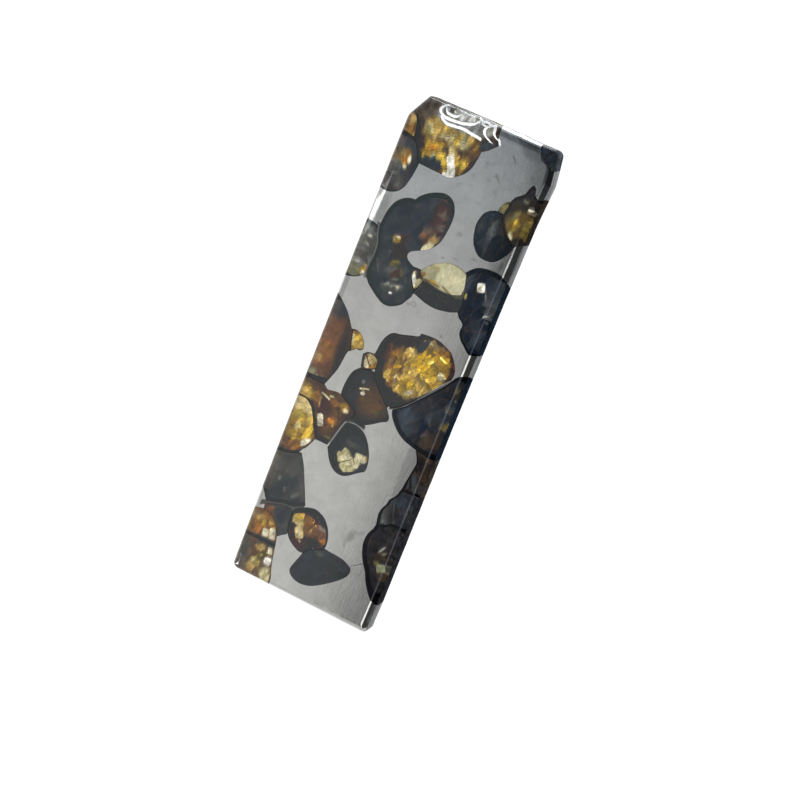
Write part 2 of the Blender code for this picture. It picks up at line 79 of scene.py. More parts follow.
CRYSTALS = [
    ("crystal_centre_golden", (0.92, 0.05, -0.1), 0.0, [
        (-1.62, 19.8, 1), (-1.55, 20.3), (-1.48, 20.9), (-1.25, 21.5), (-0.9, 21.88),
        (-0.3, 22.02), (0.4, 22.25), (1.0, 22.45), (1.12, 22.72, 1), (2.0, 22.8),
        (2.6, 22.75), (3.2, 22.55), (3.7, 22.35, 1), (4.05, 21.95), (4.35, 21.5),
        (4.52, 21.0), (4.45, 20.5), (3.95, 19.85), (2.95, 18.6), (2.0, 17.5), (1.5, 17.05),
        (1.1, 16.8), (0.9, 16.72, 1), (0.45, 16.85), (-0.35, 17.65), (-1.1, 18.5, 1),
        (-1.15, 19.0), (-1.2, 19.5)]),
    ("crystal_top_golden", (0.94, -0.1, -0.36), 0.0, [
        (-3.95, 34.12, 1), (-3.0, 34.08), (-1.5, 34.0), (-1.0, 34.25), (-0.45, 34.7),
        (-0.1, 35.3), (0.05, 36.0), (0.12, 36.62, 1), (0.6, 36.95), (1.1, 37.45, 1),
        (0.88, 38.1), (0.8, 39.6, 1), (-5.2, 39.6, 1), (-6.05, 37.95, 1), (-5.35, 37.2),
        (-5.02, 36.4), (-4.97, 35.72, 1), (-4.6, 35.3), (-4.3, 34.8)]),
    ("crystal_pale_yellow", (0.80, -0.2, 0.8), 0.0, [
        (-0.72, 26.95, 1), (-0.45, 27.35), (0.0, 27.78), (0.5, 28.08), (1.0, 28.28),
        (1.7, 28.35), (2.2, 28.22), (2.52, 28.05, 1), (2.7, 27.5), (2.98, 26.5),
        (3.08, 25.9), (3.03, 25.33, 1), (2.5, 25.1), (1.9, 24.95), (1.3, 24.87),
        (0.6, 24.93), (0.0, 25.08), (-0.66, 25.3, 1), (-0.45, 25.7), (-0.15, 26.15),
        (-0.45, 26.6)]),
    ("crystal_large_dark", (0.94, -0.24, -0.25), 0.0, [
        (-3.12, 31.55, 1), (-2.85, 31.95), (-2.4, 32.32), (-1.85, 32.62), (-1.2, 32.8),
        (-0.6, 32.65), (-0.2, 32.2), (0.0, 31.6), (0.02, 30.9), (-0.05, 30.2), (-0.18, 29.55),
        (-0.45, 29.05), (-0.9, 28.6), (-1.9, 28.05), (-2.12, 27.82), (-2.15, 27.55),
        (-1.95, 27.28), (-1.5, 27.05), (-1.2, 26.95, 1), (-1.32, 26.5), (-1.2, 26.1),
        (-0.95, 25.7), (-0.68, 25.35, 1), (-0.7, 24.95), (-0.95, 24.5), (-1.2, 24.1),
        (-1.6, 23.8), (-2.1, 23.6), (-2.75, 23.68), (-3.85, 24.35), (-4.25, 24.72),
        (-4.5, 25.15), (-4.52, 25.8), (-4.45, 26.6), (-4.5, 27.45), (-4.72, 28.1),
        (-4.88, 28.75), (-4.85, 29.5), (-4.75, 30.1), (-4.5, 30.75), (-4.1, 31.2),
        (-3.6, 31.48)]),
    ("crystal_right_golden", (0.92, -0.2, -0.2), 0.0, [
        (3.38, 32.95, 1), (3.55, 33.7), (3.58, 34.2), (3.8, 34.6), (4.15, 34.88),
        (4.35, 35.1, 1), (4.48, 35.55), (4.65, 35.85, 1), (4.85, 35.72), (4.98, 35.3),
        (5.2, 35.08, 1), (5.55, 35.05), (6.6, 35.9, 1), (6.6, 31.9, 1), (5.5, 31.62),
        (5.2, 31.45), (4.95, 31.25, 1), (4.65, 31.45), (4.2, 31.78), (3.85, 32.2)]),
    ("crystal_oval_dark", (0.80, -0.1, 0.0), 0.35, [
        (1.83, 31.6), (1.9, 32.2), (2.1, 32.7), (2.5, 33.02), (2.95, 33.15), (3.4, 33.05, 1),
        (3.65, 32.75), (3.9, 32.25), (4.25, 31.85), (5.0, 31.3, 1), (4.88, 30.85),
        (4.62, 30.35), (4.3, 29.95), (3.9, 29.67), (3.3, 29.6), (2.8, 29.72), (2.38, 30.1),
        (2.05, 30.65)]),
    ("crystal_round_cream", (0.74, 0.05, -0.55), 0.0, [
        (-1.6, 14.22, 1), (-1.25, 14.3), (-0.85, 14.3), (-0.45, 14.2), (-0.1, 14.0),
        (0.3, 13.6), (0.6, 13.15), (0.85, 12.65), (1.0, 12.1), (1.05, 11.6),
        (0.97, 11.35, 1), (0.5, 11.02), (0.1, 10.68), (-0.3, 10.42), (-0.7, 10.33),
        (-1.1, 10.4), (-1.5, 10.65), (-1.9, 11.1), (-2.32, 11.85, 1), (-2.05, 12.9),
        (-1.75, 14.0)]),
    ("crystal_lower_round_amber", (0.93, -0.25, -0.6), 0.0, [
        (-2.3, 6.72), (-1.9, 6.9), (-1.4, 7.0), (-0.95, 6.9), (-0.5, 6.67), (-0.18, 6.35),
        (0.1, 5.95), (0.3, 5.45), (0.4, 4.95), (0.35, 4.55), (0.1, 4.35), (-0.35, 4.2),
        (-0.75, 3.9), (-1.05, 3.5, 1), (-1.4, 3.45), (-1.75, 3.57), (-2.15, 3.78),
        (-2.5, 4.05), (-2.75, 4.4), (-2.9, 4.9), (-2.97, 5.5), (-2.98, 6.05),
        (-2.93, 6.3, 1), (-2.65, 6.5)]),
    ("crystal_left_golden", (0.94, -0.2, -0.2), 0.0, [
        (-6.9, 14.75, 1), (-5.8, 14.6), (-5.3, 14.5), (-4.85, 14.22), (-4.52, 13.8),
        (-3.9, 12.7), (-3.62, 12.3), (-3.52, 11.95, 1), (-3.9, 11.15), (-4.15, 10.85),
        (-4.3, 10.5, 1), (-4.9, 10.25), (-5.5, 10.05), (-6.9, 9.9, 1)]),
    ("crystal_left_orange", (0.92, -0.2, -0.1), 0.0, [
        (-6.9, 16.0, 1), (-5.5, 16.08), (-4.38, 16.12, 1), (-4.0, 15.87), (-3.5, 15.95),
        (-3.05, 15.98), (-2.4, 15.7), (-1.5, 15.25), (-1.4, 14.9), (-1.6, 14.55, 1),
        (-1.88, 14.2), (-2.1, 13.5), (-2.47, 12.03, 1), (-3.5, 12.02, 1), (-4.0, 12.8),
        (-4.6, 13.85), (-4.95, 14.25), (-5.4, 14.45), (-6.9, 14.6, 1)]),
    ("crystal_left_red_brown", (0.90, -0.25, -0.1), 0.0, [
        (-6.9, 23.3, 1), (-5.95, 22.82), (-5.4, 22.42), (-4.9, 22.0), (-4.5, 21.52),
        (-3.95, 20.75, 1), (-3.68, 19.7), (-3.6, 19.3, 1), (-3.72, 18.95), (-3.85, 17.9),
        (-4.0, 17.3), (-4.42, 16.15, 1), (-5.6, 15.98), (-6.9, 15.85, 1)]),
    ("crystal_small_golden", (0.88, -0.2, -0.2), 0.0, [
        (-4.05, 20.85, 1), (-3.6, 20.92), (-3.2, 20.78), (-2.9, 20.5), (-2.7, 20.15),
        (-2.62, 19.85, 1), (-2.8, 19.68), (-3.1, 19.65), (-3.35, 19.45), (-3.58, 19.28, 1),
        (-3.75, 19.6), (-3.88, 20.2)]),
    ("crystal_small_pale", (0.88, -0.2, -0.2), 0.0, [
        (-2.45, 19.5, 1), (-2.2, 19.75), (-1.9, 19.82), (-1.55, 19.85, 1), (-1.2, 19.65),
        (-1.05, 19.2), (-1.2, 18.85), (-2.0, 18.5), (-2.25, 18.6, 1), (-2.35, 19.0)]),
    ("crystal_centre_dark_brown", (0.86, -0.2, -0.2), 0.0, [
        (-2.4, 18.3), (-2.05, 18.58), (-1.6, 18.66), (-1.1, 18.55), (-0.75, 18.15),
        (0.0, 17.25), (0.4, 16.9), (0.75, 16.78), (0.78, 16.5, 1), (1.2, 15.9),
        (1.15, 15.6, 1), (0.7, 15.35), (0.2, 14.97), (-0.6, 14.48, 1), (-1.45, 14.6, 1),
        (-1.42, 14.9), (-1.6, 15.2), (-2.6, 15.66), (-2.88, 15.9, 1), (-2.92, 16.5),
        (-2.87, 17.2), (-2.7, 17.9)]),
    ("crystal_right_upper_dark", (0.92, -0.2, -0.25), 0.0, [
        (2.42, 28.12, 1), (2.75, 28.5), (3.1, 28.8), (3.6, 28.98), (4.2, 29.05), (4.9, 29.0),
        (5.4, 28.75), (6.6, 28.3, 1), (6.6, 23.1, 1), (5.5, 22.9), (4.95, 22.8),
        (4.4, 23.22), (3.95, 23.6), (3.72, 24.05), (3.75, 24.5), (3.6, 24.75), (3.25, 25.0),
        (2.98, 25.36, 1), (2.98, 25.9), (2.6, 27.5)]),
    ("crystal_right_middle_dark", (0.92, -0.15, -0.2), 0.0, [
        (4.62, 20.5, 1), (4.85, 20.85), (5.25, 21.1), (5.6, 21.25), (6.6, 21.5, 1),
        (6.6, 14.3, 1), (5.5, 14.45), (4.1, 14.62, 1), (3.5, 14.75), (2.9, 14.92),
        (2.3, 15.25), (1.8, 15.7), (1.4, 16.2), (1.25, 16.6, 1), (1.65, 16.9), (2.15, 17.35),
        (3.09, 18.48), (4.12, 19.75)]),
    ("crystal_right_brown", (0.92, -0.15, -0.25), 0.0, [
        (4.02, 14.7, 1), (4.3, 14.2), (4.5, 13.7), (4.45, 13.15), (4.27, 11.9),
        (4.2, 11.3, 1), (5.0, 11.38), (6.6, 11.45, 1), (6.6, 14.5, 1), (5.3, 14.6)]),
    ("crystal_right_blue_black", (0.90, -0.15, -0.25), 0.0, [
        (4.22, 11.5, 1), (4.1, 11.0), (3.95, 10.65), (3.65, 10.25), (3.58, 9.85),
        (3.38, 9.45), (3.3, 9.1), (3.3, 8.75), (3.45, 8.0, 1), (3.9, 8.15), (4.25, 8.4),
        (4.7, 8.55), (5.3, 8.5), (6.6, 8.4, 1), (6.6, 11.55, 1), (5.2, 11.5)]),
    ("crystal_lower_right_black", (0.88, -0.1, -0.2), 0.0, [
        (3.43, 8.05, 1), (3.35, 7.7), (3.15, 7.25), (3.05, 6.85), (3.05, 6.35), (3.17, 5.85),
        (3.4, 5.3), (3.7, 4.8), (4.05, 4.3), (4.4, 3.6), (4.9, 2.9), (5.5, 2.4),
        (6.7, 2.1, 1), (6.7, 8.6, 1), (5.3, 8.6), (4.7, 8.65), (4.2, 8.5), (3.8, 8.22)]),
    ("crystal_left_clear_grey", (0.93, -0.25, -0.25), 0.0, [
        (-6.9, 29.1, 1), (-5.9, 28.88), (-5.4, 28.82), (-5.08, 28.7, 1), (-4.95, 28.15),
        (-4.72, 27.5), (-4.65, 26.6), (-4.72, 25.8), (-4.7, 25.1), (-4.85, 24.88),
        (-5.15, 24.65), (-5.7, 24.45), (-6.9, 24.2, 1)]),
    ("crystal_left_upper_amber", (0.90, -0.25, -0.15), 0.0, [
        (-6.9, 35.95, 1), (-5.9, 35.85), (-4.95, 35.65), (-4.5, 35.35), (-4.2, 34.85),
        (-3.93, 34.2), (-4.0, 33.3), (-4.12, 32.7), (-4.3, 32.1), (-4.65, 31.65),
        (-5.1, 31.42), (-5.6, 31.35), (-6.9, 31.5, 1)]),
    ("crystal_top_left_amber", (0.93, -0.2, -0.25), 0.0, [
        (-6.9, 38.2, 1), (-5.85, 38.0, 1), (-5.25, 37.2), (-4.92, 36.4), (-4.9, 35.6, 1),
        (-5.9, 35.78), (-6.9, 35.85, 1)]),
    ("crystal_small_cream", (0.90, -0.25, -0.25), 0.0, [
        (-1.3, 27.0, 1), (-0.72, 27.0), (-0.45, 26.7), (-0.2, 26.4), (0.0, 26.15, 1),
        (-0.3, 25.7), (-0.62, 25.22, 1), (-1.0, 25.65), (-1.3, 26.1), (-1.42, 26.5)]),
    ("crystal_small_olive", (0.75, 0.0, 0.0), 0.6, [
        (2.95, 33.2), (3.05, 33.6), (3.25, 33.95), (3.5, 34.1), (3.68, 33.9), (3.6, 33.4),
        (3.45, 33.0), (3.15, 33.02)]),
    ("crystal_top_right_dark", (0.85, 0.1, 0.1), 0.4, [
        (3.95, 39.5, 1), (4.0, 38.72), (4.2, 38.25), (4.45, 37.75), (4.9, 37.58),
        (5.15, 37.35), (5.45, 37.28), (5.75, 37.4), (6.6, 37.9, 1), (6.6, 39.5, 1)]),
    ("crystal_lower_left_amber", (0.93, -0.2, -0.25), 0.0, [
        (-6.9, 4.75, 1), (-5.9, 5.05), (-5.5, 5.18), (-5.15, 5.22), (-4.6, 5.1), (-4.2, 4.85),
        (-3.9, 4.48), (-3.48, 3.72, 1), (-3.32, 2.98, 1), (-4.4, 2.95), (-6.9, 2.8, 1)]),
    ("crystal_bottom_left_amber", (0.93, -0.2, -0.25), 0.0, [
        (-6.9, 2.9, 1), (-4.4, 3.05), (-3.34, 3.05, 1), (-3.22, 2.4), (-3.1, 1.8),
        (-2.98, 1.3), (-2.85, 0.9), (-2.72, 0.5), (-2.7, 0.1), (-2.8, -0.8, 1),
        (-6.9, -0.8, 1)]),
    ("crystal_left_slate", (0.90, -0.2, -0.2), 0.0, [
        (-6.9, 10.15, 1), (-5.6, 10.1), (-5.0, 10.3), (-4.08, 10.52, 1), (-3.6, 9.75),
        (-3.1, 8.7), (-2.6, 7.62), (-2.3, 6.92, 1), (-2.95, 6.55, 1), (-3.4, 6.42),
        (-3.9, 6.38), (-4.4, 6.22), (-5.3, 5.95, 1), (-5.5, 6.2), (-5.8, 6.6),
        (-6.9, 7.5, 1)]),
    ("crystal_lower_blue_grey", (0.80, 0.0, 0.0), 0.4, [
        (-5.28, 5.7, 1), (-4.35, 6.02), (-3.9, 6.18), (-3.35, 6.2), (-2.9, 6.1, 1),
        (-2.88, 5.5), (-2.8, 4.6), (-2.82, 4.25, 1), (-3.1, 4.05), (-3.5, 3.72, 1),
        (-3.75, 4.05), (-4.0, 4.45), (-4.25, 4.78), (-4.6, 5.0), (-5.2, 5.08, 1)]),
    ("crystal_bottom_dark", (0.80, 0.0, 0.1), 0.4, [
        (0.2, 4.55, 1), (0.8, 4.48), (1.5, 4.45), (2.1, 4.38), (2.55, 4.2), (2.85, 4.0),
        (2.88, 3.6), (2.6, 3.1), (2.1, 2.6), (1.5, 2.1), (0.9, 1.65), (0.2, 1.3),
        (-0.5, 1.2), (-1.1, 1.35), (-1.48, 1.7), (-1.48, 2.1), (-1.15, 3.1), (-1.0, 3.62, 1),
        (-0.7, 4.0), (-0.3, 4.3)]),
]

# Light and sight
GLOW = 1.12                    # brightness of the floor
SKY = 0.92                     # brightness of the soft light mirrored by the flat face
STRIP = 1.5                    # brightness of the strip mirrored by the right edge
SHINE = 0.055                  # light mirrored by the polished face of a crystal
EVEN_LIGHT = 0.8               # brightness of the light low down all round
PICTURE_WIDTH = 800            # in pixels
FOCAL_PIXELS = 1692            # focal length, in pixels of that picture
SENSOR_WIDTH = 36.0
CAMERA = (31.224, 25.550, 120.626)  # its place, in mm from the origin
CAMERA_TILT = (14.0, 13.0)     # how far it looks down aslant, across and along the bar, in degrees
CAMERA_ROLL = 22.17            # how far it is turned about its line of sight, in degrees
LEAN = (0.146, 0.135)          # how the line of sight inside a crystal leans, per mm of depth
BODY_IOR = 1.66                # of olivine
BODY_TINT = (0.97, 0.90, 0.70)
BODY_DENSITY = 150.0
BODY_DIMMING = (0.872, 0.854, 0.804)  # what the two faces and the body leave of the light
SIDE_LEVEL = 1.2               # brightness of a crystal's outer side against its base tone
RIGHT_SIDE_LEVEL = 1.6         # painted light: the outer side of a crystal that reaches the right side, painted brighter than the others
RIGHT_SIDE_FROM = 5.9          # how far across a crystal's outline reaches there
RIGHT_FACE_FROM = 3.5          # crystals centred past this mirror less light
RIGHT_FACE_SHARE = 0.45        # how much of it
METAL = (0.52, 0.52, 0.508, 1.0)
FILM = (0.012, 0.011, 0.010, 1.0)  # dark seam between two crystals
GLARE_COLOUR = (1.0, 1.0, 0.99, 1.0)  # painted highlight: the white of the glare strokes on the worn top edge
FLOOR_HALF = 3.0               # half the width of the floor, in metres
FLOOR_DROP = 0.02              # how far it lies under the slice, in mm
STROKE_SPAN = 2.5              # height that a stroke's course covers, in mm
STROKE_MARGIN = 0.5            # part of it that is kept free under the stroke's lowest place
STROKE_END = 0.06              # how softly a stroke ends
WAVE_SCALE = 1.5               # bends of a patch's border per mm
CRACK_WIDTH = 0.09             # of a fracture line, against the size of a chip

# name, place, target, upright direction, width and height in mm, brightness
SOFT_BOXES = [
    ("left box", (-150.0, 7.0, 118.0), (-5.8, 31.0, 2.0), (0.0, -14.0, 221.0), 7.0, 226.0, 2.8),
    ("low box", (-102.0, -86.0, 87.0), (0.0, 38.0, 2.0), (0.0, 0.0, 1.0), 60.0, 60.0, 44.0),
    ("top box", (-45.0, 190.0, 14.0), (3.0, 38.6, 2.0), (0.0, 0.0, 1.0), 60.0, 26.0, 8.0),
    ("edge glow", (5.0, 52.0, 0.05), (5.0, 52.0, 100.0), (0.0, 1.0, 0.0), 15.0, 24.0, 4.0),
]

# Strokes of painted highlight, the glare on the worn top edge: the material that they are on, half
# width, the axis that the stroke runs along, its course as (place on that axis, place on the other),
# strength
GLARE_STROKES = [
    ("olivine_top_golden", 0.115, "x", [
        (-3.64, 38.05), (-3.42, 37.9), (-3.1, 37.86), (-2.6, 37.87), (-2.0, 37.95), (-1.5, 38.08),
        (-1.1, 38.25), (-0.93, 38.45), (-0.75, 38.64)], 1.0),
    ("olivine_top_golden", 0.115, "y", [
        (37.95, -3.62), (38.3, -3.85), (38.6, -3.72), (38.85, -3.35)], 1.0),
    ("olivine_top_golden", 0.11, "x", [
        (-3.7, 37.92), (-3.4, 37.65), (-3.0, 37.5), (-2.4, 37.54), (-1.8, 37.6), (-1.0, 37.52),
        (-0.2, 37.4)], 1.0),
    ("olivine_top_golden", 0.1, "x", [
        (-3.52, 38.66), (-3.4, 38.38), (-3.0, 38.2), (-2.55, 38.24), (-2.36, 38.4),
        (-2.3, 38.6)], 1.0),
    ("olivine_top_golden", 0.11, "y", [
        (37.45, 0.62), (37.6, 0.3), (37.76, 0.0), (38.0, -0.2), (38.28, -0.2), (38.5, 0.05)], 1.0),
    ("olivine_top_golden", 0.11, "y", [
        (37.78, 1.05), (37.9, 0.78), (38.1, 0.52), (38.4, 0.45), (38.78, 0.35)], 1.0),
    ("olivine_top_golden", 0.09, "x", [
        (-0.95, 38.85), (-0.6, 38.66), (-0.2, 38.7), (0.1, 38.6), (0.35, 38.7)], 1.0),
    ("olivine_top_golden", 0.06, "x", [(-2.45, 38.76), (-1.8, 38.72), (-1.2, 38.76)], 0.8),
    ("olivine_top_golden", 0.07, "x", [(-0.65, 38.5), (-0.3, 38.42), (0.05, 38.48)], 0.9),
    ("metal", 0.11, "x", [(0.78, 37.9), (1.05, 37.78), (1.24, 37.52)], 1.0),
]

# Dark seams, where the metal between two crystals is only a film
SEAMS = [
    (0.22, "x", [(-5.7, 5.6), (-5.2, 5.86), (-4.6, 6.08), (-4.0, 6.25), (-3.1, 6.38), (-2.65, 6.6),
                 (-2.3, 6.83)], 0.8),
    (0.16, "x", [(-0.9, 4.05), (-0.5, 4.3), (0.0, 4.5), (0.4, 4.62)], 0.9),
    (0.17, "x", [(0.95, 16.7), (1.5, 17.0), (2.0, 17.45), (2.7, 18.25)], 0.93),
    (0.15, "x", [(2.5, 18.0), (3.3, 18.98), (4.0, 19.85), (4.5, 20.6)], 0.72),
    (0.16, "y", [(12.2, -2.28), (13.2, -2.0), (14.2, -1.72), (14.5, -1.55)], 0.5),
    (0.17, "x", [(-1.75, 14.35), (-1.2, 14.55), (-0.7, 14.52), (-0.2, 14.42)], 0.85),
    (0.18, "y", [(24.8, -4.48), (26.5, -4.6), (28.0, -4.75), (29.0, -5.05)], 0.68),
]

# Screen colours of the clear parts as they show from above
PALETTE = {
    "white": (246, 244, 234), "ivory": (224, 218, 194), "cream": (206, 198, 162),
    "straw": (184, 176, 134), "wheat": (190, 160, 88), "lemon": (244, 226, 116),
    "yellow": (208, 176, 76), "gold": (186, 152, 60), "honey": (158, 127, 50),
    "orange": (194, 128, 28), "amber": (160, 110, 50), "tan": (158, 134, 88),
    "caramel": (132, 98, 54), "rust": (126, 90, 70), "brown": (100, 78, 56),
    "umber": (78, 64, 50), "bark": (62, 54, 48), "olive": (144, 134, 80),
    "moss": (100, 94, 62), "sage": (130, 134, 108), "pewter": (152, 154, 142),
    "ash": (132, 135, 136), "grey": (112, 114, 110), "smoke": (84, 85, 82),
    "slate": (64, 68, 72), "ink": (50, 57, 64), "navy": (26, 35, 46), "night": (26, 29, 37),
    "plum": (72, 60, 60), "haze": (162, 146, 134),
    "pale": (190, 188, 156), "dark_gold": (118, 94, 36), "khaki": (108, 98, 54),
    "dust": (98, 90, 80), "butter": (206, 186, 130), "pocket": (46, 40, 34),
    "coal": (43, 43, 47), "peat": (46, 42, 37), "loam": (86, 71, 43), "cocoa": (90, 75, 60),
    "pale_glare": (222, 224, 222), "sand": (154, 148, 116),
}
